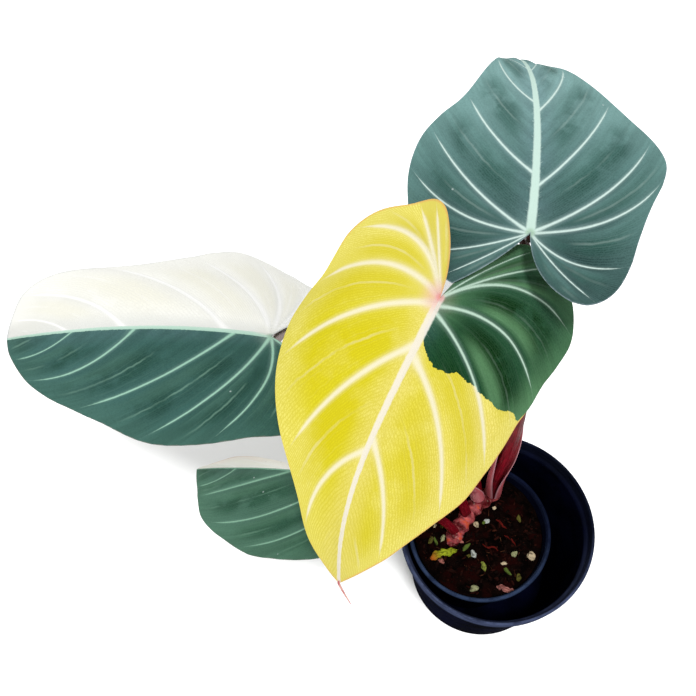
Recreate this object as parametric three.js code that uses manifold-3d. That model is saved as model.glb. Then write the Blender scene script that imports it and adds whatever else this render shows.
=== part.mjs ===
// Philodendron gloriosum in a nursery pot that stands inside a larger plastic pot.
// Millimetres, +Z up. The origin is the centre of the outer pot's foot, on the floor.
// Four heart-shaped blades stand on petioles that grow from a rhizome creeping over the soil.
// The blades' tips point up the plant's back, to its front, and twice to its left.

import * as THREE from "three";
import { mergeVertices } from "three/addons/utils/BufferGeometryUtils.js";
import Module from "manifold-3d";

const wasm = await Module();
wasm.setup();

// ---------------------------------------------------------------- sizes

const GAP = 0.3; // between pieces that rest on or pass through each other
const LATHE_SIDES = 36;

const outerPot = {
  height: 132,
  rimRadius: 73.5,
  bandHeight: 14,
  wall: 1.8,
  bodyTopRadius: 69.5,
  footRadius: 58.5,
  floorTop: 3.2,
  recess: 1.5, // the drained ring under the floor stands this high off the ground
  bossRadius: 18,
  ringWidth: 7.5,
  holes: 8,
  holeRadius: 4,
  holeRing: 27, // the holes' centres stand this far from the middle
};

const innerPot = {
  x: -9.8,
  y: 3.6,
  bottom: outerPot.floorTop + GAP,
  top: 108,
  rimRadius: 55.5,
  lip: 2.6,
  wall: 1.3,
  bodyTopRadius: 53.2,
  footRadius: 40,
  recess: 1.2,
  recessRadius: 31,
  holes: 6,
  holeRadius: 4,
  holeRing: 22,
};

const soilLevel = 101; // at the rhizome; it falls by soilFall towards the pot's wall
const soilFall = 3;
const soilBump = 1.1;

const bladeThickness = 0.8;
const pillowHeight = 1.3; // the blade swells up this far between two veins
const edgeWave = 1.6; // the margin's gentle rise and fall
const STATIONS = 48; // steps along a midrib
const RAYS_PER_VEIN = 3;
const RAY_STEPS = 7;

// One blade: the joint's place, the heading of its tip and the bends of its flat outline.
// side.margin holds [bearing from the tip in degrees, reach from the joint in mm], from the
// lobe's inner corner round to the tip; side.veins holds [start on the midrib in mm, bearing at
// the margin, bow], from the lobe to the tip. The first ray is the sinus edge, with its own bow.
const blades = {
  back: {
    joint: [4.9, 110.2, 352.8],
    length: 166,
    halfWidth: 81,
    lobeLength: 52,
    heading: 77.1,
    slope: -12.1,
    roll: -8,
    droop: 67.5,
    droopPower: 2.5,
    sweep: 13.2,
    sweepPower: 1,
    twist: 23.5,
    right: {
      fold: -4,
      curl: 18,
      lobeDrop: 0.25,
      sinusBow: -0.31,
      margin: [[144, 47], [136, 54], [122, 59], [103, 60], [90, 61], [78, 66], [69, 74], [62, 85],
        [55, 95], [46, 101], [34, 105], [24, 112], [16, 123], [8, 143], [0, 166]],
      veins: [[0, 132, -0.12], [0, 104, -0.33], [0, 60, -0.27], [0, 45, -0.18], [33, 26, -0.11],
        [87, 10, -0.15], [126, 4, -0.12]],
    },
    left: {
      fold: -4,
      curl: 18,
      lobeDrop: 0.07,
      sinusBow: -0.1,
      margin: [[130, 54], [119, 59], [106, 66], [92, 73], [78, 77], [66, 84], [56, 90], [46, 96],
        [36, 100], [26, 104], [18, 115], [10, 134], [0, 166]],
      veins: [[0, 122, -0.06], [0, 103, -0.12], [0, 61, -0.27], [0, 42, -0.17], [33, 24, -0.16],
        [87, 8, -0.27], [126, 4, -0.15]],
    },
  },
  front: {
    joint: [-49.6, 79.3, 336.5],
    length: 176,
    halfWidth: 93,
    lobeLength: 61,
    heading: 240,
    slope: 9,
    roll: -16,
    droop: 16.5,
    droopPower: 1,
    sweep: 34,
    sweepPower: 3,
    twist: -3,
    right: {
      fold: 1,
      curl: 46,
      lobeDrop: -0.35,
      sinusBow: -0.14,
      margin: [[160, 40], [155, 52], [148, 58], [135, 60], [118, 68], [104, 71], [90, 71], [79, 74],
        [69, 82], [58, 92], [46, 101], [34, 110], [25, 118], [18, 126], [12, 137], [7, 153],
        [3, 165], [0, 176]],
      veins: [[0, 149, -0.04], [0, 140, -0.07], [0, 105, -0.48], [0, 73, -0.42], [0, 44, -0.2],
        [35, 20, -0.12], [95, 8, -0.26]],
    },
    left: {
      fold: 9,
      curl: 24,
      lobeDrop: 0,
      sinusBow: -0.09,
      margin: [[157, 54], [150, 70], [136, 87], [121, 99], [112, 102], [105, 102], [96, 97], [86, 93],
        [75, 95], [66, 97], [57, 103], [48, 111], [40, 120], [32, 132], [24, 143], [17, 155],
        [10, 167], [4, 173], [0, 176]],
      veins: [[0, 145, -0.07], [0, 135, -0.08], [0, 108, -0.36], [0, 78, -0.36], [0, 44, -0.22],
        [35, 24, -0.25], [95, 8, -0.23]],
    },
  },
  left: {
    joint: [-157, 103, 258],
    length: 182,
    halfWidth: 98,
    lobeLength: 65,
    heading: 171,
    slope: -7,
    roll: 20,
    droop: 16,
    droopPower: 1,
    sweep: 11,
    sweepPower: 1,
    twist: -31,
    right: {
      fold: 2,
      curl: 18,
      lobeDrop: 0.1,
      sinusBow: 0.17,
      margin: [[142, 70], [125, 78], [104, 81], [89, 95], [73, 106], [60, 104], [50, 103], [36, 110],
        [26, 127], [18, 157], [12, 173], [5, 180], [0, 182]],
      veins: [[0, 126, 0.06], [0, 104, -0.12], [0, 76, -0.22], [0, 51, -0.24], [27, 24, -0.22],
        [96, 10, -0.26], [137, 4, -0.2]],
    },
    left: {
      fold: -4,
      curl: 11,
      lobeDrop: 0.1,
      sinusBow: 0,
      margin: [[150, 68], [138, 76], [120, 84], [102, 87], [86, 92], [68, 101], [54, 111], [35, 126],
        [25, 141], [17, 158], [11, 170], [4, 180], [0, 182]],
      veins: [[0, 140, -0.08], [0, 108, -0.35], [0, 73, -0.33], [0, 47, -0.28], [27, 24, -0.24],
        [96, 11, -0.33], [137, 5, -0.23]],
    },
  },
  low: {
    joint: [-97, 22, 185],
    length: 148,
    halfWidth: 78,
    lobeLength: 52,
    heading: 163.2,
    slope: 5.4,
    roll: 31,
    droop: 31.5,
    droopPower: 1,
    sweep: -8,
    sweepPower: 1,
    twist: -28,
    right: {
      fold: 45,
      curl: 9,
      lobeDrop: -0.2,
      sinusBow: -0.15,
      margin: [[148, 36], [135, 40], [120, 44], [103, 47], [88, 50], [72, 57], [58, 68], [46, 80],
        [36, 91], [28, 99], [23, 113], [18, 128], [13, 141], [9, 147], [4, 149], [0, 148]],
      veins: [[0, 138, -0.08], [0, 108, -0.35], [0, 75, -0.3], [0, 45, -0.35], [14, 24, -0.26],
        [55, 13, -0.15], [105, 6, -0.2]],
    },
    left: {
      fold: 2,
      curl: 8,
      lobeDrop: 0.1,
      sinusBow: -0.1,
      margin: [[148, 42], [135, 47], [120, 53], [103, 61], [90, 69], [79, 76], [59, 87], [49, 95],
        [40, 102], [32, 110], [25, 120], [18, 130], [11, 136], [5, 143], [0, 148]],
      veins: [[0, 138, -0.08], [0, 106, -0.35], [0, 75, -0.3], [0, 39, -0.45], [14, 20, -0.32],
        [55, 10, -0.08], [105, 6, -0.2]],
    },
  },
};

// The rhizome's centre line, from its old end to its growing tip, and the roots under it.
const rhizome = {
  path: [[-34, -6, 96], [-27, 4, 100], [-18, 16, 101.5], [-8, 26, 101.5], [4, 34, 101], [12, 41, 103]],
  radius: 6.4,
  nodeSwell: 0.8,
  nodes: 7,
  roots: 5,
  rootLength: 34,
  rootRadius: 1.5,
};

// Each petiole runs from the rhizome to just under its blade's joint. The points between are the
// arch that it grows in; the last stretch comes up squarely under the blade.
const petioles = {
  back: {
    path: [[5.5, 33.5, 101], [1.5, 31, 150], [3, 31, 200], [5, 38, 245], [10, 66, 280], [14, 108, 301],
      [7, 128, 328]],
    baseRadius: 4.9,
    tipRadius: 3,
    approach: 9,
  },
  front: {
    path: [[-7, 27, 101], [-14, 38, 145], [-22, 50, 195], [-30, 66, 245], [-41, 80, 285]],
    baseRadius: 4.6,
    tipRadius: 3,
    approach: 20,
  },
  left: {
    path: [[-17, 17, 101], [-28, 25, 140], [-46, 42, 180], [-83, 80, 215], [-135, 123, 238]],
    baseRadius: 4.4,
    tipRadius: 3.2,
    approach: 12,
  },
  low: {
    path: [[-27, 4, 100], [-38, 6, 125], [-56, 11, 147], [-78, 17, 160]],
    baseRadius: 3.9,
    tipRadius: 2.5,
    approach: 10,
  },
};
const jointForward = 1.5; // a petiole's end stands this far in from the notch of its blade
const petioleSides = 10;
const petioleChannel = 0.2; // depth of the groove along a petiole, as a part of its radius

// Fleshy sheaths that wrapped each new leaf: on which petiole, how long, which way they open.
const cataphylls = {
  tall: { on: "back", start: 10, length: 145, opens: 262, spread: 170, flare: 2.2 },
  short: { on: "front", start: 12, length: 30, opens: 60, spread: 100, flare: 2.6 },
};
const cataphyllThickness = 0.9;

// Grains of perlite and bark that stand out of the soil: [x, y, radius], as they lie at the front.
const grains = [
  [5, 20, 1.4], [-12, 9, 2.3], [-3, 12, 2.1], [29, -17, 3.2], [-16, -13, 2.6], [-22, -7, 2.4],
  [-10, -22, 2.6], [17, -15, 1.9], [7, -22, 1.4], [8, -28, 1.7], [17, -33, 2], [-18, -39, 2.5],
  [-41, -17, 2], [24, 12, 1.9],
];
const hiddenGrains = 10; // more of them at the back, placed by the seeded draw
const seed = 41;

// ---------------------------------------------------------------- helpers

const radians = THREE.MathUtils.degToRad;

// Park and Miller's generator, so that every build draws the same numbers.
function makeRandom(start) {
  let state = start;
  return () => {
    state = (state * 16807) % 2147483647;
    return state / 2147483647;
  };
}

// A smooth curve through [x, y] pairs whose x falls: cubic pieces whose slopes at the pairs are
// those of the lines between their neighbours.
function through(pairs, x) {
  const last = pairs.length - 1;
  let i = 0;
  while (i < last - 1 && x < pairs[i + 1][0]) i += 1;
  const slopeAt = (k) => {
    const a = pairs[Math.max(k - 1, 0)];
    const b = pairs[Math.min(k + 1, last)];
    return (b[1] - a[1]) / (b[0] - a[0]);
  };
  const [x0, y0] = pairs[i];
  const [x1, y1] = pairs[i + 1];
  const h = x1 - x0;
  const t = (x - x0) / h;
  const t2 = t * t;
  const t3 = t2 * t;
  return (2 * t3 - 3 * t2 + 1) * y0 + (t3 - 2 * t2 + t) * h * slopeAt(i) +
    (3 * t2 - 2 * t3) * y1 + (t3 - t2) * h * slopeAt(i + 1);
}

// Triangles over points that may coincide: equal points become one, flat triangles are dropped.
function solidGeometry(points, triangles) {
  const keys = new Map();
  const places = [];
  const ids = points.map((p) => {
    const key = p.toArray().map((c) => Math.round(c * 2000)).join(" ");
    if (!keys.has(key)) {
      keys.set(key, places.length / 3);
      places.push(...p.toArray());
    }
    return keys.get(key);
  });
  const index = triangles
    .map((t) => t.map((i) => ids[i]))
    .filter(([a, b, c]) => a !== b && b !== c && c !== a);
  return new THREE.BufferGeometry()
    .setAttribute("position", new THREE.Float32BufferAttribute(places, 3))
    .setIndex(index.flat());
}

// A geometry as a manifold-3d solid, and back.
function toSolid(geometry) {
  const bare = geometry.clone().deleteAttribute("normal").deleteAttribute("uv");
  const merged = mergeVertices(bare, 1e-3);
  return new wasm.Manifold(new wasm.Mesh({
    numProp: 3,
    vertProperties: merged.attributes.position.array,
    triVerts: new Uint32Array(merged.index.array),
  }));
}

function toGeometry(solid) {
  const mesh = solid.getMesh();
  return new THREE.BufferGeometry()
    .setAttribute("position", new THREE.BufferAttribute(mesh.vertProperties, 3))
    .setIndex(new THREE.BufferAttribute(mesh.triVerts, 1));
}

// A tube round a curve: radiusAt(along, around) gives its section, with along from 0 to 1.
function loft(curve, steps, sides, radiusAt) {
  const frames = curve.computeFrenetFrames(steps, false);
  const points = [];
  const triangles = [];
  for (let i = 0; i <= steps; i += 1) {
    const centre = curve.getPointAt(i / steps);
    for (let j = 0; j < sides; j += 1) {
      const angle = (2 * Math.PI * j) / sides;
      const radius = radiusAt(i / steps, angle);
      points.push(centre.clone()
        .addScaledVector(frames.normals[i], radius * Math.cos(angle))
        .addScaledVector(frames.binormals[i], radius * Math.sin(angle)));
    }
  }
  for (let i = 0; i < steps; i += 1) {
    for (let j = 0; j < sides; j += 1) {
      const a = i * sides + j;
      const b = i * sides + ((j + 1) % sides);
      triangles.push([a, b, b + sides], [a, b + sides, a + sides]);
    }
  }
  const ends = [points.length, points.length + 1];
  points.push(curve.getPointAt(0), curve.getPointAt(1));
  for (let j = 0; j < sides; j += 1) {
    const next = (j + 1) % sides;
    triangles.push([ends[0], next, j]);
    triangles.push([ends[1], steps * sides + j, steps * sides + next]);
  }
  return solidGeometry(points, triangles);
}

const curveThrough = (points) =>
  new THREE.CatmullRomCurve3(points.map((p) => new THREE.Vector3(...p)), false, "catmullrom");

// ---------------------------------------------------------------- pots

// A turned pot from its closed profile of [radius, height], with a ring of holes in the floor.
function turnedPot(profile, holes, holeRadius, ringRadius, floorTop) {
  const points = profile.map(([r, z]) => new THREE.Vector2(r, z));
  let pot = toSolid(new THREE.LatheGeometry(points, LATHE_SIDES).rotateX(Math.PI / 2));
  for (let i = 0; i < holes; i += 1) {
    const angle = (2 * Math.PI * (i + 0.5)) / holes;
    const drill = new THREE.CylinderGeometry(holeRadius, holeRadius, 4 * floorTop, 10)
      .rotateX(Math.PI / 2)
      .translate(ringRadius * Math.cos(angle), ringRadius * Math.sin(angle), 0);
    pot = pot.subtract(toSolid(drill));
  }
  return toGeometry(pot);
}

function outerPotGeometry() {
  const p = outerPot;
  const shoulder = p.height - p.bandHeight;
  const ringInside = p.footRadius - p.ringWidth;
  const profile = [
    [0, 0],
    [p.bossRadius, 0],
    [p.bossRadius + 1, p.recess],
    [ringInside - 1, p.recess],
    [ringInside, 0],
    [p.footRadius, 0],
    [p.bodyTopRadius, shoulder - 0.5],
    [p.rimRadius - 1, shoulder],
    [p.rimRadius - 0.4, p.height - 3],
    [p.rimRadius, p.height - 1.6],
    [p.rimRadius - 0.6, p.height],
    [p.rimRadius - 2, p.height],
    [p.rimRadius - 2.4, p.height - 2],
    [p.rimRadius - 2.6, shoulder + p.wall],
    [p.bodyTopRadius - p.wall, shoulder + p.wall - 1],
    [p.footRadius - p.wall, p.floorTop],
    [0, p.floorTop],
  ];
  return turnedPot(profile, p.holes, p.holeRadius, p.holeRing, p.floorTop);
}

function innerPotGeometry() {
  const p = innerPot;
  const height = p.top - p.bottom;
  const floorTop = p.recess + p.wall;
  const profile = [
    [0, p.recess],
    [p.recessRadius - 1, p.recess],
    [p.recessRadius, 0],
    [p.footRadius, 0],
    [p.bodyTopRadius, height - p.lip],
    [p.rimRadius, height - p.lip],
    [p.rimRadius, height - 0.8],
    [p.rimRadius - 0.8, height],
    [p.rimRadius - 2.4, height],
    [p.bodyTopRadius - p.wall, height - p.lip],
    [p.footRadius - p.wall, floorTop],
    [0, floorTop],
  ];
  return turnedPot(profile, p.holes, p.holeRadius, p.holeRing, floorTop)
    .translate(p.x, p.y, p.bottom);
}

// ---------------------------------------------------------------- blades

// The midrib's stations, from the joint to the tip: place, and the directions along it, across
// it to the right, and up. It bends down by droop, sideways by sweep and rolls by twist; droop and
// sweep grow with their power of the way to the tip.
function midribStations(blade) {
  const heading = radians(blade.heading);
  const slope = radians(blade.slope);
  const along = new THREE.Vector3(
    Math.cos(heading) * Math.cos(slope), Math.sin(heading) * Math.cos(slope), -Math.sin(slope));
  const across = new THREE.Vector3(Math.sin(heading), -Math.cos(heading), 0)
    .applyAxisAngle(along, radians(blade.roll));
  const up = new THREE.Vector3().crossVectors(across, along);
  const place = new THREE.Vector3(...blade.joint);
  const stations = [];
  const partOf = (i, power) => ((i + 1) / STATIONS) ** power - (i / STATIONS) ** power;
  for (let i = 0; i <= STATIONS; i += 1) {
    stations.push({ place: place.clone(), along: along.clone(), across: across.clone(), up: up.clone() });
    place.addScaledVector(along, blade.length / STATIONS);
    const turns = [
      [across.clone(), -radians(blade.droop) * partOf(i, blade.droopPower)],
      [up.clone(), radians(blade.sweep) * partOf(i, blade.sweepPower)],
      [along.clone(), radians(blade.twist) / STATIONS],
    ];
    turns.forEach(([axis, angle]) => {
      along.applyAxisAngle(axis, angle);
      across.applyAxisAngle(axis, angle);
      up.applyAxisAngle(axis, angle);
    });
  }
  return stations;
}

// A point of the blade in space from its flat place, x to the right and y towards the tip, and
// its lift off the plain surface. The cross-section starts at side.fold and curls down by
// side.curl out to the half width; behind the joint the lobes drop.
function bladePoint(blade, stations, side, x, y, lift) {
  const q = THREE.MathUtils.clamp(y / blade.length, 0, 1) * STATIONS;
  const i = Math.min(Math.floor(q), STATIONS - 1);
  const mix = (key) => stations[i][key].clone().lerp(stations[i + 1][key], q - i);
  const place = mix("place");
  const along = mix("along");
  const across = mix("across");
  const up = mix("up");
  const sign = side === blade.right ? 1 : -1;
  const out = Math.abs(x);
  const fold = radians(side.fold);
  const rate = radians(side.curl) / blade.halfWidth;
  const angle = fold + rate * out;
  const behind = Math.min(y, 0) / blade.lobeLength;
  const lean = angle * Math.min(1, out / 4); // the midrib's own lift is straight up on both sides
  const flatOut = (Math.sin(angle) - Math.sin(fold)) / rate;
  const height = (Math.cos(angle) - Math.cos(fold)) / rate
    - side.lobeDrop * blade.lobeLength * behind * behind;
  return place
    .addScaledVector(along, Math.min(y, 0))
    .addScaledVector(across, sign * (flatOut + lift * Math.sin(lean)))
    .addScaledVector(up, height + lift * Math.cos(lean));
}

// Ray number r of a side, counted in veins: where it leaves the midrib, its bearing at the
// margin and its bow. Ray 0 is the sinus edge, and the last one is the tip.
function rayAt(blade, side, r) {
  const rays = [
    [0, side.margin[0][0], side.sinusBow],
    ...side.veins,
    [blade.length, 0, 0],
  ];
  const i = Math.min(Math.floor(r), rays.length - 2);
  return rays[i].map((value, k) => THREE.MathUtils.lerp(value, rays[i + 1][k], r - i));
}

// A flat point on a ray, at v from the midrib (0) to the margin (1): a quadratic Bezier curve
// whose middle control point stands off the chord by bow times the chord's length.
function flatPoint(side, [start, bearing, bow], v) {
  const reach = through(side.margin, bearing);
  const end = new THREE.Vector2(reach * Math.sin(radians(bearing)), reach * Math.cos(radians(bearing)));
  const from = new THREE.Vector2(0, start);
  const chord = end.clone().sub(from);
  const control = from.clone().addScaledVector(chord, 0.5)
    .add(new THREE.Vector2(-chord.y, chord.x).multiplyScalar(bow));
  return from.multiplyScalar((1 - v) ** 2)
    .addScaledVector(control, 2 * v * (1 - v))
    .addScaledVector(end, v * v);
}

function bladeGeometry(blade) {
  const stations = midribStations(blade);
  const rows = (blade.right.veins.length + 1) * RAYS_PER_VEIN;
  const points = [];
  const triangles = [];
  // One side's grid on one face; the lower face lies a thickness under the upper one.
  const addGrid = (side, depth) => {
    const first = points.length;
    for (let i = 0; i <= rows; i += 1) {
      const r = i / RAYS_PER_VEIN;
      const ray = rayAt(blade, side, r);
      for (let j = 0; j <= RAY_STEPS; j += 1) {
        const v = j / RAY_STEPS;
        const flat = flatPoint(side, ray, v);
        const inside = i > 0 && i < rows ? Math.abs(Math.sin(Math.PI * r)) : 0;
        const pillow = pillowHeight * inside * Math.sin(Math.PI * v);
        const wave = edgeWave * v ** 3 * Math.sin(2.3 * r + 1) * Math.sin((Math.PI * i) / rows);
        points.push(bladePoint(blade, stations, side, flat.x, flat.y, pillow + wave - depth));
      }
    }
    return first;
  };
  [blade.right, blade.left].forEach((side) => {
    const top = addGrid(side, 0);
    const under = addGrid(side, bladeThickness);
    const turned = side === blade.left;
    const add = (a, b, c) => triangles.push(turned ? [a, c, b] : [a, b, c]);
    const quad = (a, b, c, d) => {
      add(a, b, c);
      add(a, c, d);
    };
    const at = (first, i, j) => first + i * (RAY_STEPS + 1) + j;
    for (let i = 0; i < rows; i += 1) {
      for (let j = 0; j < RAY_STEPS; j += 1) {
        quad(at(top, i, j), at(top, i, j + 1), at(top, i + 1, j + 1), at(top, i + 1, j));
        // the lower face keeps the upper one's diagonals
        add(at(under, i, j), at(under, i + 1, j + 1), at(under, i, j + 1));
        add(at(under, i, j), at(under, i + 1, j), at(under, i + 1, j + 1));
      }
      quad(at(top, i, RAY_STEPS), at(under, i, RAY_STEPS),
        at(under, i + 1, RAY_STEPS), at(top, i + 1, RAY_STEPS));
    }
    for (let j = 0; j < RAY_STEPS; j += 1) {
      quad(at(top, 0, j), at(under, 0, j), at(under, 0, j + 1), at(top, 0, j + 1));
    }
  });
  return solidGeometry(points, triangles);
}

// ---------------------------------------------------------------- stems

// A petiole's centre line: its own points, then up squarely to the blade's joint from below. The
// end looks at the ridge between the two folded sides, and keeps off both of them.
function petioleCurve(name) {
  const { path, approach, tipRadius } = petioles[name];
  const blade = blades[name];
  const joint = midribStations(blade)[0];
  const tilt = radians((blade.right.fold - blade.left.fold) / 2);
  const ridge = radians(Math.max((blade.right.fold + blade.left.fold) / 2, 0));
  const seat = bladeThickness + 2 * GAP + tipRadius * Math.tan(ridge);
  const under = (depth) => joint.place.clone()
    .addScaledVector(joint.along, jointForward)
    .addScaledVector(joint.up, -depth * Math.cos(tilt))
    .addScaledVector(joint.across, -depth * Math.sin(tilt))
    .toArray();
  return curveThrough([...path, under(seat + approach), under(seat)]);
}

// A petiole or, with room added all round, the hole that it stands in.
function petioleSolid(name, room = 0) {
  const { baseRadius, tipRadius } = petioles[name];
  const radiusAt = (along, around) => {
    const plain = THREE.MathUtils.lerp(baseRadius, tipRadius, along ** 0.7);
    const channel = petioleChannel * Math.max(Math.cos(around), 0) ** 4;
    return plain * (1 - channel) + room;
  };
  return toSolid(loft(petioleCurve(name), 16, petioleSides, radiusAt));
}

function rhizomeSolid(room = 0) {
  const curve = curveThrough(rhizome.path);
  const radiusAt = (along) => {
    const swell = rhizome.nodeSwell * Math.cos(2 * Math.PI * rhizome.nodes * along);
    const ends = Math.min(1, 0.45 + 6 * Math.min(along, 1 - along));
    return (rhizome.radius + swell) * ends + room;
  };
  let solid = toSolid(loft(curve, 21, 10, radiusAt));
  for (let i = 0; i < rhizome.roots; i += 1) {
    const from = curve.getPointAt((i + 0.6) / (rhizome.roots + 0.4));
    const turn = 2.4 * i;
    const root = [0, 0.35, 0.7, 1].map((s) => [
      from.x + 9 * s * Math.cos(turn) + 2 * Math.sin(5 * s),
      from.y + 9 * s * Math.sin(turn),
      from.z - 1 - rhizome.rootLength * s,
    ]);
    const rootRadius = (along) => rhizome.rootRadius * (1 - 0.6 * along) + room;
    solid = solid.add(toSolid(loft(curveThrough(root), 5, 6, rootRadius)));
  }
  return solid;
}

// A sheath round the foot of a petiole: a curved strip that narrows to a point and leans out.
function cataphyllSolid(name, room = 0) {
  const { on, start, length, opens, spread, flare } = cataphylls[name];
  const curve = petioleCurve(on);
  const steps = 10;
  const across = 14;
  const clear = petioles[on].baseRadius + 2 * GAP;
  const points = [];
  const triangles = [];
  const layers = [clear + cataphyllThickness + room, clear - room];
  const margin = room / clear;
  layers.forEach((radius) => {
    for (let i = 0; i <= steps; i += 1) {
      const s = i / steps;
      const centre = curve.getPointAt((start + length * s) / curve.getLength());
      const half = radians(spread) * (1 - s ** 1.6) + 0.05 + margin;
      for (let j = 0; j <= across; j += 1) {
        const angle = radians(opens) + Math.PI + half * (2 * j / across - 1);
        const reach = radius + flare * s * s;
        points.push(new THREE.Vector3(
          centre.x + reach * Math.cos(angle), centre.y + reach * Math.sin(angle), centre.z));
      }
    }
  });
  const at = (layer, i, j) => layer * (steps + 1) * (across + 1) + i * (across + 1) + j;
  const quad = (a, b, c, d) => triangles.push([a, b, c], [a, c, d]);
  for (let i = 0; i < steps; i += 1) {
    for (let j = 0; j < across; j += 1) {
      quad(at(0, i, j), at(0, i, j + 1), at(0, i + 1, j + 1), at(0, i + 1, j));
      quad(at(1, i, j), at(1, i + 1, j), at(1, i + 1, j + 1), at(1, i, j + 1));
    }
    quad(at(0, i, 0), at(0, i + 1, 0), at(1, i + 1, 0), at(1, i, 0));
    quad(at(0, i, across), at(1, i, across), at(1, i + 1, across), at(0, i + 1, across));
  }
  for (let j = 0; j < across; j += 1) {
    quad(at(0, 0, j), at(1, 0, j), at(1, 0, j + 1), at(0, 0, j + 1));
    quad(at(0, steps, j), at(0, steps, j + 1), at(1, steps, j + 1), at(1, steps, j));
  }
  return toSolid(solidGeometry(points, triangles));
}

// ---------------------------------------------------------------- soil

// The soil's surface: a mound under the rhizome that falls to the wall, with small bumps.
function soilHeight(x, y) {
  const reach = Math.hypot(x - innerPot.x, y - innerPot.y) / innerPot.bodyTopRadius;
  const bumps = Math.sin(0.31 * x + 1) * Math.cos(0.27 * y) + 0.6 * Math.sin(0.55 * y + 0.4 * x);
  return soilLevel - soilFall * reach * reach + soilBump * bumps;
}

function soilSolid() {
  const floor = innerPot.bottom + innerPot.recess + innerPot.wall + GAP;
  const wallAt = (z) => THREE.MathUtils.mapLinear(
    z, innerPot.bottom, innerPot.top - innerPot.lip, innerPot.footRadius, innerPot.bodyTopRadius)
    - innerPot.wall - 3 * GAP;
  const rings = 7;
  const sides = LATHE_SIDES;
  const points = [];
  const triangles = [];
  const addRing = (radius, heightAt) => {
    for (let j = 0; j < sides; j += 1) {
      const angle = (2 * Math.PI * j) / sides;
      const x = innerPot.x + radius * Math.cos(angle);
      const y = innerPot.y + radius * Math.sin(angle);
      points.push(new THREE.Vector3(x, y, heightAt(x, y)));
    }
  };
  const topRadius = wallAt(soilLevel - soilFall - 2);
  addRing(wallAt(floor), () => floor);
  for (let i = rings; i > 0; i -= 1) addRing((topRadius * i) / rings, soilHeight);
  for (let i = 0; i < rings; i += 1) {
    for (let j = 0; j < sides; j += 1) {
      const a = i * sides + j;
      const b = i * sides + ((j + 1) % sides);
      triangles.push([a, b, b + sides], [a, b + sides, a + sides]);
    }
  }
  const ends = [points.length, points.length + 1];
  points.push(new THREE.Vector3(innerPot.x, innerPot.y, floor));
  points.push(new THREE.Vector3(innerPot.x, innerPot.y, soilHeight(innerPot.x, innerPot.y)));
  for (let j = 0; j < sides; j += 1) {
    const next = (j + 1) % sides;
    triangles.push([ends[0], next, j]);
    triangles.push([ends[1], rings * sides + j, rings * sides + next]);
  }
  let soil = toSolid(solidGeometry(points, triangles));

  const random = makeRandom(seed);
  const lumps = grains.map(([x, y, radius]) => ({ x, y, radius }));
  for (let i = 0; i < hiddenGrains; i += 1) {
    const angle = radians(108 + 80 * random());
    const reach = innerPot.bodyTopRadius * (0.5 + 0.36 * random());
    lumps.push({
      x: innerPot.x + reach * Math.cos(angle),
      y: innerPot.y + reach * Math.sin(angle),
      radius: 1.6 + 1.2 * random(),
    });
  }
  lumps.forEach(({ x, y, radius }) => {
    const lump = new THREE.IcosahedronGeometry(radius, 0)
      .rotateX(3 * random())
      .rotateZ(3 * random())
      .scale(1, 0.85, 0.8)
      .translate(x, y, soilHeight(x, y) + 0.15 * radius);
    soil = soil.add(toSolid(lump));
  });

  const room = GAP + 0.05;
  soil = soil.subtract(rhizomeSolid(room));
  Object.keys(petioles).forEach((name) => {
    soil = soil.subtract(petioleSolid(name, room));
  });
  Object.keys(cataphylls).forEach((name) => {
    soil = soil.subtract(cataphyllSolid(name, room));
  });
  return largestBody(soil);
}

// Cuts can leave crumbs apart; the piece is the largest body.
function largestBody(solid) {
  return solid.decompose().reduce((a, b) => (b.volume() > a.volume() ? b : a));
}

// ---------------------------------------------------------------- the plant

const materials = {
  outerPot: { color: 0x1b1c2a, roughness: 0.42, metalness: 0 },
  innerPot: { color: 0x16182a, roughness: 0.4, metalness: 0 },
  soil: { color: 0x2a1712, roughness: 1, metalness: 0 },
  rhizome: { color: 0x7d3a30, roughness: 0.6, metalness: 0 },
  cataphyll: { color: 0xa2344a, roughness: 0.5, metalness: 0 },
  petiole: { color: 0x9c5a58, roughness: 0.5, metalness: 0 },
  bladeBack: { color: 0x3f6f66, roughness: 0.55, metalness: 0 },
  bladeFront: { color: 0xe2d43a, roughness: 0.5, metalness: 0 },
  bladeLeft: { color: 0x3d685f, roughness: 0.55, metalness: 0 },
  bladeLow: { color: 0x477a68, roughness: 0.55, metalness: 0 },
};

function addMesh(group, name, geometry, material) {
  const flat = geometry.index ? geometry.toNonIndexed() : geometry;
  flat.computeVertexNormals();
  const mesh = new THREE.Mesh(flat, new THREE.MeshStandardMaterial(materials[material]));
  mesh.name = name;
  group.add(mesh);
}

const plant = new THREE.Group();

addMesh(plant, "outer_pot", outerPotGeometry(), "outerPot");
addMesh(plant, "inner_pot", innerPotGeometry(), "innerPot");
addMesh(plant, "soil", toGeometry(soilSolid()), "soil");
addMesh(plant, "rhizome", toGeometry(rhizomeSolid()), "rhizome");

const rhizomeRoom = rhizomeSolid(GAP);
Object.keys(cataphylls).forEach((name) => {
  const sheath = largestBody(cataphyllSolid(name).subtract(rhizomeRoom));
  addMesh(plant, `cataphyll_${name}`, toGeometry(sheath), "cataphyll");
});
Object.keys(petioles).forEach((name) => {
  const stem = largestBody(petioleSolid(name).subtract(rhizomeRoom));
  addMesh(plant, `petiole_${name}`, toGeometry(stem), "petiole");
});
const bladeMaterials = { back: "bladeBack", front: "bladeFront", left: "bladeLeft", low: "bladeLow" };
Object.entries(blades).forEach(([name, blade]) => {
  addMesh(plant, `blade_${name}`, bladeGeometry(blade), bladeMaterials[name]);
});

export default plant;
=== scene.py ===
import functools
import math

import bmesh
import bpy
import numpy as np
from mathutils import Matrix


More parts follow.
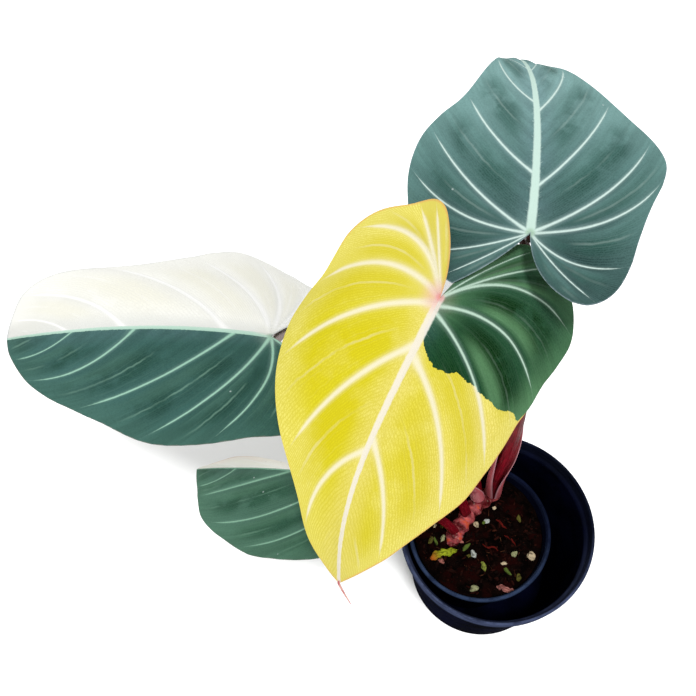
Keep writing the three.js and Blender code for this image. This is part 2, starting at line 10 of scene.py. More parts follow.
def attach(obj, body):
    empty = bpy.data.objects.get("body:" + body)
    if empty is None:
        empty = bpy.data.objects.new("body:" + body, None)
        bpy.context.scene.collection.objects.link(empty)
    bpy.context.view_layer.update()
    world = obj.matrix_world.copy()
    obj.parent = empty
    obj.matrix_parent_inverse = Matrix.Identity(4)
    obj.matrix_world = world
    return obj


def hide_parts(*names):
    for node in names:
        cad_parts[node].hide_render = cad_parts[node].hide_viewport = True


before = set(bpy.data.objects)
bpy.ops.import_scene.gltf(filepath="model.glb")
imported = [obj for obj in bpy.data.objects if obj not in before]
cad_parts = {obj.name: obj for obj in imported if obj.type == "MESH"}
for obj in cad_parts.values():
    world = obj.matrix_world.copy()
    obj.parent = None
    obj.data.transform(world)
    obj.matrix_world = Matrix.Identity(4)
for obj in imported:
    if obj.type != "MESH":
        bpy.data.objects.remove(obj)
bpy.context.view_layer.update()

# A gloriosum philodendron: four heart-shaped leaves on stalks that rise from a stem creeping over
# the soil of a nursery pot, which stands inside a larger plastic pot. Shapes are worked out in
# millimetres, as (x, y, z) with z up, and become metres when a mesh is made.
mm = 0.001
weldReach = 2e-6

# how bright the studio's light makes a level white surface
lightLevel = 1.9


# a colour given as the screen values it has under that light, from 0 to 255, as linear values
def tone(red, green, blue):
    parts = [c / 255 for c in (red, green, blue)]
    linear = [((p + 0.055) / 1.055) ** 2.4 if p > 0.04045 else p / 12.92 for p in parts]
    return (*[value / lightLevel for value in linear], 1)


def soften(u):
    return u * u * (3 - 2 * u)


# 0 below low, 1 above high, and 3u^2 - 2u^3 between them
def ease(value, low, high):
    return soften(np.clip((value - low) / (high - low), 0, 1))


# a value from -1 to 1 that wanders over the plane: seeded numbers on a square lattice of the given
# size, blended between neighbours with 3u^2 - 2u^3
def wander(x, y, size, seed, cells=61):
    lattice = np.random.default_rng(seed).random((cells, cells)) * 2 - 1
    u, v = x / size, y / size
    i, j = np.floor(u).astype(int), np.floor(v).astype(int)
    fu, fv = soften(u - i), soften(v - j)
    low, high = (lattice[i % cells, k % cells] * (1 - fu) + lattice[(i + 1) % cells, k % cells] * fu
                 for k in (j, j + 1))
    return low * (1 - fv) + high * fv


def unit(vectors):
    return vectors / np.linalg.norm(vectors, axis=-1, keepdims=True)


def fullTurn(sides):
    return np.linspace(0, 2 * np.pi, sides, endpoint=False)[None, :]


# parts of any matching shapes as one array of vectors
def vectorsOf(*parts):
    return np.stack(np.broadcast_arrays(*parts), -1)


# a grid of points as a shape: its points, its quads and its maps, which hold a vector for each
# point. A wrapped grid's last column meets its first; a flipped one faces the other way.
def gridShape(grid, maps={}, wrap=False, flip=False):
    rows, columns = grid.shape[:2]
    i, j = np.arange(rows - 1)[:, None], np.arange(columns if wrap else columns - 1)
    here, beside = i * columns + j, i * columns + (j + 1) % columns
    corners = [here, beside, beside + columns, here + columns]
    if flip:
        corners.reverse()
    maps = {key: np.broadcast_to(values, grid.shape).reshape(-1, 3) for key, values in maps.items()}
    return grid.reshape(-1, 3), np.stack([c.ravel() for c in corners], 1), maps


def joinShapes(shapes):
    first, faces = 0, []
    for points, shapeFaces, maps in shapes:
        faces.append(shapeFaces + first)
        first += len(points)
    maps = {key: np.concatenate([shape[2][key] for shape in shapes]) for key in maps}
    return np.concatenate([shape[0] for shape in shapes]), np.concatenate(faces), maps


def addObject(name, data):
    thing = bpy.data.objects.new(name, data)
    bpy.context.scene.collection.objects.link(thing)
    return thing


def smoothShading(mesh, sharp=None):
    mesh.shade_smooth()
    if sharp:
        mesh.set_sharp_from_angle(angle=math.radians(sharp))


# an object from points in millimetres and faces; more is done to the mesh before it is shaded
def addPiece(name, points, faces, material, sharp=None, prepare=None):
    mesh = bpy.data.meshes.new(name)
    mesh.from_pydata((np.array(points) * mm).tolist(), [], np.array(faces).tolist())
    if prepare:
        prepare(mesh)
    smoothShading(mesh, sharp)
    mesh.materials.append(material)
    return addObject(name, mesh)


# a mesh piece from a shape. Its maps are kept on the faces' corners, so that they may jump along
# a seam, and points that meet are welded, which closes poles.
def makePiece(name, shape, material, sharp=None):
    points, quads, maps = shape

    def prepare(mesh):
        for mapName, values in maps.items():
            layer = mesh.attributes.new(mapName, "FLOAT_VECTOR", "CORNER")
            layer.data.foreach_set("vector", values[quads.ravel()].astype(np.float32).ravel())
        work = bmesh.new()
        work.from_mesh(mesh)
        bmesh.ops.remove_doubles(work, verts=work.verts, dist=weldReach)
        work.to_mesh(mesh)
        work.free()
    return addPiece(name, points, quads, material, sharp, prepare)


# the piece rides with the plant and stands for the solids named, which are hidden; the slot is not
# used
def fit(piece, slot, *nodes):
    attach(piece, "root")
    if nodes:
        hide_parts(*nodes)


# a uniform Catmull-Rom curve through the given points in fine steps, and how far along each step
# lies. Each end is carried on straight, which sets the slope there.
def fineCurve(through, steps=40):
    p = np.array(through, float)
    p = np.concatenate([[2 * p[0] - p[1]], p, [2 * p[-1] - p[-2]]])
    u = np.linspace(0, 1, steps, endpoint=False)[:, None]
    parts = [b + 0.5 * u * (c - a) + u ** 2 * (a - 2.5 * b + 2 * c - 0.5 * d)
             + u ** 3 * (1.5 * (b - c) + 0.5 * (d - a))
             for a, b, c, d in zip(p, p[1:], p[2:], p[3:])]
    fine = np.concatenate([*parts, p[-2:-1]])
    return fine, np.concatenate([[0], np.cumsum(np.linalg.norm(np.diff(fine, axis=0), axis=1))])


# points along that curve, evenly spaced by arc length
def smoothPath(through, count):
    fine, run = fineCurve(through)
    even = np.linspace(0, run[-1], count)
    return np.stack([np.interp(even, run, fine[:, k]) for k in range(3)], 1)


# directions beside and over a path. The side direction is carried from ring to ring and made
# square to the path again, so it never spins.
def pathFrames(path, side):
    along = unit(np.gradient(path, axis=0))
    beside = np.empty_like(path)
    for k, t in enumerate(along):
        side = unit(side - t * (side @ t))
        beside[k] = side
    return beside, np.cross(along, beside)


# a closed tube round a path: centre + radius * (side cos a + over sin a), where radius comes from
# a function of the share of the length and the angle. Over a run of roundness * radius each end
# shrinks to a point, as sqrt(1 - (1 - u)^2). "stem" holds the run, the angle and the share.
def tube(path, side, sides, radiusAt, roundness=1):
    beside, over = pathFrames(path, side)
    s, angle = np.linspace(0, 1, len(path))[:, None], fullTurn(sides)
    run = np.linalg.norm(np.diff(path, axis=0), axis=1).sum()
    radius = radiusAt(s, angle)
    capRun = roundness * radius.mean(1, keepdims=True)
    fromEnd = np.minimum(s, 1 - s) * run
    radius = radius * np.sqrt(1 - (1 - np.clip(fromEnd / capRun, 0, 1)) ** 2)
    points = (path[:, None] + beside[:, None] * (radius * np.cos(angle))[..., None]
              + over[:, None] * (radius * np.sin(angle))[..., None])
    return gridShape(points, {"stem": vectorsOf(s * run, angle, s)}, wrap=True)


# begins a material, which the shader tools below then add to
def startMaterial(name):
    global material, tree, shader, place
    material = bpy.data.materials.new(name)
    material.use_nodes = True
    tree = material.node_tree
    tree.nodes.clear()
    shader, place = newNode("BsdfPrincipled"), newNode("TexCoord").outputs["Object"]
    newNode("OutputMaterial", {"Surface": shader.outputs[0]})


# gives a socket a constant, a colour in screen values, or a link
def feed(socket, value):
    if isinstance(value, bpy.types.NodeSocket):
        tree.links.new(value, socket)
    else:
        isScreen = isinstance(value, tuple) and len(value) == 3
        socket.default_value = tone(*value) if isScreen else value


def newNode(kind, inputs={}, **settings):
    node = tree.nodes.new("ShaderNode" + kind)
    for key, value in settings.items():
        setattr(node, key, value)
    for key, value in inputs.items():
        feed(node.inputs[key], value)
    return node


def calc(operation, a, b=0):
    return newNode("Math", {0: a, 1: b}, operation=operation).outputs[0]


# several values joined by an operation, from left to right
def joined(operation):
    return lambda *values: functools.reduce(lambda a, b: calc(operation, a, b), values)


times, plus, minus, most = map(joined, ("MULTIPLY", "ADD", "SUBTRACT", "MAXIMUM"))


def offWhole(value):
    return calc("ABSOLUTE", minus(value, calc("ROUND", value)))


# a value carried from one range to another, smoothly at both ends
def span(value, low, high, outLow=0, outHigh=1, kind="SMOOTHSTEP"):
    given = {"Value": value, "From Min": low, "From Max": high, "To Min": outLow, "To Max": outHigh}
    return newNode("MapRange", given, interpolation_type=kind).outputs["Result"]


# 1 at or below low, falling smoothly to 0 at high
def near(value, low, high):
    return span(value, low, high, 1, 0)


def blend(factor, first, second):
    return newNode("Mix", {"Factor": factor, 6: first, 7: second}, data_type="RGBA").outputs[2]


# a colour with others laid over it in turn, each as strongly as its mask says
def layered(colour, *layers):
    for mask, over in layers:
        colour = blend(mask, colour, over)
    return colour


def noise(vector, size, detail=2, roughness=0.5):
    given = {"Vector": vector, "Scale": 1 / size, "Detail": detail, "Roughness": roughness}
    return newNode("TexNoise", given).outputs[0]


def cells(vector, size, feature="F1"):
    return newNode("TexVoronoi", {"Vector": vector, "Scale": 1 / size}, feature=feature).outputs


def split(vector):
    return newNode("SeparateXYZ", {0: vector}).outputs


def attributeParts(name):
    return split(newNode("Attribute", attribute_name=name).outputs["Vector"])


def combine(x, y, z=0):
    return newNode("CombineXYZ", {0: x, 1: y, 2: z}).outputs[0]


# ends a material: its colour, roughness, how strongly it mirrors, and a relief of some depth
def dress(colour, roughness, ior, relief=None, depth=0, strength=1):
    given = {"Base Color": colour, "Roughness": roughness, "IOR": ior}
    if relief:
        bump = newNode("Bump", {"Height": relief, "Distance": depth, "Strength": strength})
        given["Normal"] = bump.outputs[0]
    for key, value in given.items():
        feed(shader.inputs[key], value)
    return material


# camera, light and floor: pitch is how far below the horizon the view looks, in degrees. All
# lengths but the lens, the sensor and the floor's reach are in metres.
studio = dict(
    place=(-0.105, -0.1744, 0.7577), pitch=62.05, roll=3, lens=43.45, sensor=36, nearest=0.01,
    skyStrength=0.86, keySize=0.7, keyPower=203, keyPlace=(0.018, -0.98, 4.43),
    keyAim=(-0.05, 0.05, 0.2), floorReach=4000,
)


# puts a camera or a light at a place, with its axes to the right, up and back
def stand(name, data, where, *axes):
    pose = Matrix([list(row) for row in np.stack(axes, 1)]).to_4x4()
    pose.translation = where
    thing = addObject(name, data)
    thing.matrix_world = pose
    return thing


def makeStudio():
    scene = bpy.context.scene
    scene.view_settings.view_transform = "Standard"
    pitch, roll = math.radians(studio["pitch"]), math.radians(studio["roll"])
    forward, side = np.array([0, math.cos(pitch), -math.sin(pitch)]), np.array([1, 0, 0])
    down = np.cross(forward, side)
    right = math.cos(roll) * side + math.sin(roll) * down
    below = -math.sin(roll) * side + math.cos(roll) * down
    optics = bpy.data.cameras.new("camera")
    optics.lens, optics.sensor_width = studio["lens"], studio["sensor"]
    optics.clip_start = studio["nearest"]
    scene.camera = stand("camera", optics, studio["place"], right, -below, -forward)

    world = bpy.data.worlds.new("sky")
    world.use_nodes = True
    sky = world.node_tree.nodes["Background"].inputs
    sky["Color"].default_value = (1, 1, 1, 1)
    sky["Strength"].default_value = studio["skyStrength"]
    scene.world = world

    light = bpy.data.lights.new("key", "AREA")
    light.shape, light.size, light.energy = "DISK", studio["keySize"], studio["keyPower"]
    back = unit(np.array(studio["keyPlace"]) - studio["keyAim"])
    beside = unit(np.cross([0, 1, 0], back))
    stand("key", light, studio["keyPlace"], beside, np.cross(back, beside), back)

    startMaterial("paper")
    whites = (0.93, 0.93, 0.93, 1), (0.95, 0.95, 0.95, 1)
    paper = dress(blend(noise(place, 0.6), *whites), 0.9, 1.05)
    corners = studio["floorReach"] * np.array([(-1, -1, 0), (1, -1, 0), (1, 1, 0), (-1, 1, 0)])
    floor = addPiece("floor", corners, [(0, 1, 2, 3)], paper)


makeStudio()
print("camera, light and floor")


# the pots, in millimetres: x, y and bottom say where each stands. The last colour of each is a
# painted highlight on the rim, and the rim depth given a little before the plastic colours is how
# far down from the top that highlight reaches.
outerPot = dict(
    x=0, y=0, bottom=0, height=132, rimRadius=73.5, band=14, wall=1.8, bodyTopRadius=69.5,
    footRadius=58.5, floorTop=3.2, recess=1.5, bossRadius=18, ringWidth=7.5, holes=8, holeRadius=4,
    holeRing=27, sides=192, waver=0.25, rimHighlightDepth=16, plastic=[(2, 3, 10), (9, 12, 36)],
    rimHighlight=(80, 90, 122),
)
innerPot = dict(
    x=-9.8, y=3.6, bottom=3.5, height=104.5, rimRadius=55.5, lip=2.6, wall=1.3, bodyTopRadius=53.2,
    footRadius=40, floorTop=2.5, recess=1.2, recessRadius=31, holes=6, holeRadius=4, holeRing=22,
    sides=168, waver=0.2, rimHighlightDepth=4, band=12, plastic=[(8, 10, 26), (16, 20, 46)],
    rimHighlight=(60, 76, 108),
)


# a pot's profile as corners (radius, height, rounding), from the middle of the foot outwards, up
# and back down inside
def outerCorners(height, rimRadius, band, wall, bodyTopRadius, footRadius, floorTop, recess,
                 bossRadius, ringWidth, **rest):
    shoulder, ringInside = height - band, footRadius - ringWidth
    return [
        (0, 0, 0), (bossRadius, 0, 0.8), (bossRadius + 1, recess, 0.8),
        (ringInside - 1, recess, 0.8), (ringInside, 0, 0.8), (footRadius, 0, 1.6),
        (bodyTopRadius, shoulder - 0.5, 1.2), (rimRadius - 1, shoulder, 1.2),
        (rimRadius - 0.4, height - 3, 1.2), (rimRadius, height - 1.6, 1),
        (rimRadius - 0.6, height, 0.9), (rimRadius - 2, height, 0.7),
        (rimRadius - 2.4, height - 2, 1), (rimRadius - 2.6, shoulder + wall, 1.4),
        (bodyTopRadius - wall, shoulder + wall - 1, 1.4),
        (footRadius - wall, floorTop, 2.4), (0, floorTop, 0),
    ]


def innerCorners(height, rimRadius, lip, wall, bodyTopRadius, footRadius, floorTop, recess,
                 recessRadius, **rest):
    return [
        (0, recess, 0), (recessRadius - 1, recess, 0.6), (recessRadius, 0, 0.6),
        (footRadius, 0, 1.2), (bodyTopRadius, height - lip, 0.6), (rimRadius, height - lip, 0.5),
        (rimRadius, height - 0.8, 0.7), (rimRadius - 0.8, height, 0.7),
        (rimRadius - 2.4, height, 0.8), (bodyTopRadius - wall, height - lip, 1.2),
        (footRadius - wall, floorTop, 1.6), (0, floorTop, 0),
    ]


# each corner of a profile becomes a quadratic curve that begins and ends a rounding away from it,
# but takes no more of a line than the greatest share
def roundedProfile(corners, steps=5, greatest=0.45):
    c = np.array(corners, float)
    line = [c[0, :2]]
    for before, here, after in zip(c, c[1:], c[2:]):
        back, on = before[:2] - here[:2], after[:2] - here[:2]
        backReach, onReach = np.linalg.norm(back), np.linalg.norm(on)
        cut = min(here[2], greatest * backReach, greatest * onReach)
        start, end = here[:2] + back / backReach * cut, here[:2] + on / onReach * cut
        u = np.linspace(0, 1, steps + 1)[:, None]
        line.extend((1 - u) ** 2 * start + 2 * u * (1 - u) * here[:2] + u ** 2 * end)
    return np.array([*line, c[-1, :2]])


# more points on the straight runs of a profile, none further apart than step
def refined(line, step=4):
    out = [line[0]]
    for a, b in zip(line, line[1:]):
        n = max(1, int(np.ceil(np.linalg.norm(b - a) / step)))
        out.extend(a + (b - a) * k / n for k in range(1, n + 1))
    return np.array(out)


# a profile carried round the z axis: x = r cos a, y = r sin a. The wall wavers a little, by a sum
# of two slow waves round the pot.
def turned(profile, sides, waver):
    angle = fullTurn(sides)
    r, z = profile[:, :1], profile[:, 1:]
    soft = waver * (np.sin(2 * angle + 0.6) + 0.5 * np.sin(3 * angle + 2)) * ease(z, 5, 110)
    radius = np.where(r > 0, r + soft, 0)
    return vectorsOf(radius * np.cos(angle), radius * np.sin(angle), z)


# holes through a pot's floor, cut with one body made of upright cylinders
def drill(piece, pot):
    cutter = bmesh.new()
    radius, ring = pot["holeRadius"] * mm, pot["holeRing"]
    for angle in 2 * np.pi * (np.arange(pot["holes"]) + 0.5) / pot["holes"]:
        spot = (pot["x"] + ring * np.cos(angle)) * mm, (pot["y"] + ring * np.sin(angle)) * mm, 0
        bmesh.ops.create_cone(
            cutter, cap_ends=True, segments=24, radius1=radius, radius2=radius,
            depth=4 * (pot["bottom"] + pot["floorTop"]) * mm, matrix=Matrix.Translation(spot))
    cutterMesh = bpy.data.meshes.new("drill")
    cutter.to_mesh(cutterMesh)
    cutter.free()
    tool = addObject("drill", cutterMesh)
    cut = piece.modifiers.new("drainage", "BOOLEAN")
    cut.operation, cut.object, cut.solver = "DIFFERENCE", tool, "EXACT"
    bpy.context.view_layer.update()
    seen = piece.evaluated_get(bpy.context.evaluated_depsgraph_get())
    done = bpy.data.meshes.new_from_object(seen)
    piece.modifiers.clear()
    piece.data = done
    bpy.data.objects.remove(tool)
    smoothShading(done, sharp=40)


# moulded black plastic with a navy cast: faint flow marks, dust in the hollows, and a painted
# highlight on the rim, stronger towards the front, with painted glint streaks in the rim band and a
# painted highlight line at the inner ledge
def potMaterial(name, pot):
    startMaterial(name)
    x, y, z = split(place)
    flow, dust = noise(place, 0.03, 4, 0.6), noise(place, 0.0016)
    # scuff marks in the relief and roughness, and the streaks of the painted glints in the rim band
    scuffsAndGlints = noise(combine(x, y, times(z, 9)), 0.012, 5, 0.7)
    top = pot["bottom"] + pot["height"]
    band, rimHighlightDepth = top - pot["band"], pot["rimHighlightDepth"]
    # painted highlight: a lighter band down from the top of the rim
    rim = span(z, (top - rimHighlightDepth) * mm, (top - rimHighlightDepth / 2) * mm)
    # the painted highlight is stronger on the front side, which faces the camera and the key light
    litSide = span(plus(y, times(x, 0.3)), 0.02, -0.05, 0.12, 1)
    # painted glint streaks in the band below the rim
    bandGlints = times(span(z, band * mm, (band + 2) * mm), span(scuffsAndGlints, 0.4, 0.75))
    # a painted highlight line along the inner ledge
    ledgeHighlight = near(calc("ABSOLUTE", minus(z, (band + 1.6) * mm)), 0, 0.9 * mm)
    paintedHighlight = most(times(rim, span(scuffsAndGlints, 0.3, 0.62, 0.3, 1)), times(most(bandGlints, ledgeHighlight), 0.4))
    base, sheen = pot["plastic"]
    colour = layered(base, (span(flow, 0.3, 0.75), sheen), (times(paintedHighlight, litSide), pot["rimHighlight"]),
                     (span(dust, 0.66, 0.8, 0, 0.25), (52, 56, 76)))
    relief = plus(times(scuffsAndGlints, 0.5), dust)
    return dress(colour, span(scuffsAndGlints, 0.3, 0.7, 0.3, 0.5), 1.003, relief, 0.00012, 0.6)


def makePot(name, pot, corners):
    points = turned(refined(roundedProfile(corners(**pot))), pot["sides"], pot["waver"])
    points = points + (pot["x"], pot["y"], pot["bottom"])
    plastic = potMaterial(name + "Plastic", pot)
    piece = makePiece(name + "PotShell", gridShape(points, wrap=True), plastic)
    drill(piece, pot)
    fit(piece, name + "_pot", name + "_pot")


makePot("outer", outerPot, outerCorners)
makePot("inner", innerPot, innerCorners)
print("pots")


# soil: each span is (least, how much a random share may add), in millimetres or degrees
soil = dict(
    level=101, fall=3, bump=1.1, rings=90, sides=200, gap=0.6, foot=0.3, flatEdge=0.03, seed=41,
    crumbs=900, crumbSpan=(0.45, 1.3), crumbColours=[(6, 4, 3), (52, 18, 12)], crumbClear=2.5,
    bitShrink=0.92, strays=16, straySpan=(1.2, 1.4), strayArc=(108, 80), strayOut=(0.5, 0.4),
    strayColours=["cream", "chalk", "pale", "olive", "bark"], fibres=34, fibreReach=(3, 5),
    fibreRadius=0.16, fibreClear=8,
)
relief = dict(coarse=(0.7, 7, 3), crumb=(1.1, 3.1, 4), fine=(0.7, 1.5, 5), middle=0.4)
scrap = dict(thickness=0.5, ripple=0.22, sag=0.3, columns=9, rows=26)
ground = dict(
    cream=(226, 205, 168), chalk=(205, 212, 205), green=(96, 118, 50), lime=(150, 160, 70),
    olive=(104, 100, 44), grey=(150, 150, 146), pale=(176, 178, 132), rose=(190, 120, 108),
    bark=(70, 34, 22),
)
# x, y, radius, how long it is for its width, colour
bits = [
    (5, 22, 1.5, 1.1, "cream"), (-11, 9, 2.4, 1.1, "cream"), (-2, 12, 2.3, 1, "chalk"),
    (-4.5, 11, 1.7, 1.2, "green"), (29, -17, 3.3, 1.1, "cream"), (-15.5, -13.5, 2.8, 1.1, "chalk"),
    (-21, -8, 2.5, 1.6, "green"), (-19, -15, 1.8, 1.3, "olive"), (-9, -22.5, 2.8, 1.4, "lime"),
    (16, -15, 2.3, 1.4, "pale"), (7, -22, 1.6, 1.5, "cream"), (9, -28, 2, 1.9, "green"),
    (17, -33, 2.3, 1.2, "olive"), (-18, -39.5, 2.9, 1.2, "pale"), (-41, -17, 2.3, 1.3, "rose"),
    (24, 13, 2.1, 1.4, "olive"), (-25, -1, 1.6, 2.2, "grey"), (-24, -3.5, 1.4, 1.4, "rose"),
    (-44, -2, 1.7, 2, "green"), (32, -17, 1.5, 1.2, "bark"), (3, 4, 1.2, 1.5, "bark"),
]
# points (x, y) on the soil, half width, arch, and kind: 0 for bark, 1 for leaf, 2 for a red sliver
litter = [
    ([(-50, -16), (-44, -12.5), (-38, -11), (-28, -10)], 3.4, 1.6, 1),
    ([(-1, -39), (4, -40), (9, -42.5), (14, -43)], 2.6, 1.2, 0),
    ([(5, 13), (8, 11), (10, 7), (13, 5)], 0.9, 0.5, 2),
    ([(10, 0), (14, -2), (17, -6), (18, -9)], 0.8, 0.4, 2),
    ([(-8, -6), (-4, -9), (1, -9), (4, -12)], 0.8, 0.5, 2),
]


# the top: a mound that falls as the square of the distance to the pot's middle, with slow bumps
def soilHeight(x, y):
    reach = np.hypot(x - innerPot["x"], y - innerPot["y"]) / innerPot["bodyTopRadius"]
    bumps = np.sin(0.31 * x + 1) * np.cos(0.27 * y) + 0.6 * np.sin(0.55 * y + 0.4 * x)
    return soil["level"] - soil["fall"] * reach ** 2 + soil["bump"] * bumps


# crumbly relief on the mound: three sizes of wandering, each with its height, size and seed, the
# finer ones folded to make crumbs
def soilRelief(x, y):
    height, *kind = relief["coarse"]
    total = height * wander(x, y, *kind)
    for height, *kind in (relief["crumb"], relief["fine"]):
        total = total + height * (np.abs(wander(x, y, *kind)) - relief["middle"])
    return total


def onSoil(x, y):
    return soilHeight(x, y) + soilRelief(x, y)


def soilMaterial():
    startMaterial("pottingMix")
    clump, crumb = noise(place, 0.009, 4, 0.65), noise(place, 0.0022, 3, 0.6)
    red = span(noise(place, 0.014), 0.48, 0.68)
    colour = layered(
        (5, 3, 3), (span(clump, 0.35, 0.7), (20, 10, 8)), (times(red, 0.7), (38, 9, 8)),
        # light brown specks on the raised crumbs: painted highlights
        (span(crumb, 0.62, 0.8, 0, 0.5), (44, 26, 18)))
    roughness = span(clump, 0.3, 0.7, 0.75, 0.95)
    return dress(colour, roughness, 1.03, plus(clump, crumb), 0.0009, 0.9)


# a piece of bark or perlite carries its colour in an attribute; pores and stains vary it
def bitMaterial():
    startMaterial("barkAndPerlite")
    stain = newNode("Attribute", attribute_name="stain").outputs["Color"]
    pores, dirt = noise(place, 0.0009, 3, 0.65), noise(place, 0.0035, 3, 0.6)
    colour = layered(stain, (span(pores, 0.35, 0.6, 0.3, 0), (40, 22, 16)),
                     (span(dirt, 0.52, 0.68, 0, 0.75), (24, 10, 8)))
    return dress(colour, 0.8, 1.1, pores, 0.0005, 0.8)


# thin roots and moss threads, brown to straw
def fibreMaterial():
    startMaterial("fibres")
    share, shade = attributeParts("stem")[2], noise(place, 0.006)
    colour = layered((52, 14, 10), (span(shade, 0.4, 0.62), (120, 78, 52)),
                     (span(share, 0.6, 1, 0, 0.5), (60, 30, 20)))
    return dress(colour, 0.8, 1.1, shade, 0.0002)


# strips of bark and a torn leaf end: "strip" holds the share of the length, the share of the
# width from -1 to 1, and the kind
def scrapMaterial():
    startMaterial("barkAndLeafScrap")
    share, across, kind = attributeParts("strip")
    fibre = noise(combine(times(share, 0.004), times(across, 0.01)), 0.0016, 3, 0.6)
    patch = noise(place, 0.0028, 3, 0.6)
    mottle = span(fibre, 0.35, 0.65)
    bark = blend(mottle, (84, 26, 24), (206, 138, 128))
    leaf = layered((112, 132, 20), (mottle, (196, 206, 52)),
                   (span(share, 0.5, 0, 0, 0.9), (190, 74, 34)))
    sliver = blend(mottle, (56, 8, 8), (122, 34, 26))
    colour = blend(span(kind, 0.4, 0.6), bark, blend(span(kind, 1.4, 1.6), leaf, sliver))
    colour = blend(span(patch, 0.5, 0.68, 0, 0.6), colour, (34, 14, 10))
    return dress(colour, 0.75, 1.1, plus(fibre, patch), 0.0004)


# a scrap lying on the soil: a strip along a path whose half width goes with (4 s (1 - s))^0.5 and
# a ripple of its edge, and whose middle arches over the ground as 1 - u^2. It follows the ground
# across it by the share that it sags.
def scrapShape(line, half, arch, kind):
    x, y = np.array(line, float).T
    path = smoothPath(np.column_stack([x, y, onSoil(x, y)]), scrap["rows"])
    along = unit(np.gradient(path[:, :2], axis=0))
    s, u = np.linspace(0, 1, len(path))[:, None], np.linspace(-1, 1, scrap["columns"])[None, :]
    ripple = 1 + scrap["ripple"] * np.sin(23 * s + 2 * u)
    wide = half * np.sqrt(np.clip(4 * s * (1 - s), 0, 1)) * ripple
    x = path[:, :1] - wide * u * along[:, 1:]
    y = path[:, 1:2] + wide * u * along[:, :1]
    bed = onSoil(x, y) * scrap["sag"] + path[:, 2:] * (1 - scrap["sag"])
    upper = vectorsOf(x, y, bed + arch * (1 - u ** 2) * (0.4 + 0.6 * s) + scrap["thickness"])
    lower = upper - (0, 0, scrap["thickness"])
    shapes = [gridShape(grid, {"strip": vectorsOf(s, u, kind)}, flip=flip)
              for grid, flip in ((upper, True), (lower, False))]
    for side, flip in ((0, False), (-1, True)):
        wall = np.stack([upper[:, side], lower[:, side]], 1)
        shapes.append(gridShape(wall, {"strip": vectorsOf(s, 0, kind)}, flip=flip))
    return joinShapes(shapes)


# a lump from an icosphere's directions: each point lies at the radius times 1 plus a sum of waves
# in its direction, then the lump is drawn out along x, turned, tilted and moved
def lump(sphere, radius, longer, turn, tilt, where, seed, colour):
    directions, faces = sphere
    phases = np.random.default_rng(seed).random(6) * 6.3
    waves = (3.1, 1.2, 0.4), (-1.4, 2.8, 2.2), (0.6, -3.3, 3.9), (4.7, 2.1, -3)
    swell = sum(np.sin(directions @ np.array(w) + p) for w, p in zip(waves, phases))
    points = directions * (radius * (1 + 0.11 * swell))[:, None] * (longer, 1 / longer ** 0.5, 0.8)
    c, s, ct, st = math.cos(turn), math.sin(turn), math.cos(tilt), math.sin(tilt)
    points = points @ [[1, 0, 0], [0, ct, st], [0, -st, ct]] @ [[c, s, 0], [-s, c, 0], [0, 0, 1]]
    return points + where, faces, {"stain": np.tile(colour, (len(points), 1))}


def sphereOf(level):
    work = bmesh.new()
    bmesh.ops.create_icosphere(work, subdivisions=level, radius=1)
    points = np.array([v.co for v in work.verts])
    faces = np.array([[v.index for v in f.verts] for f in work.faces])
    work.free()
    return points, faces


# lumps as one mesh; every lump's colour is kept on its points
def lumpPiece(name, lumps, material):
    points, faces, maps = joinShapes(lumps)

    def prepare(mesh):
        layer = mesh.attributes.new("stain", "FLOAT_COLOR", "POINT")
        layer.data.foreach_set("color", maps["stain"].astype(np.float32).ravel())
    return addPiece(name, points, faces, material, 50, prepare)


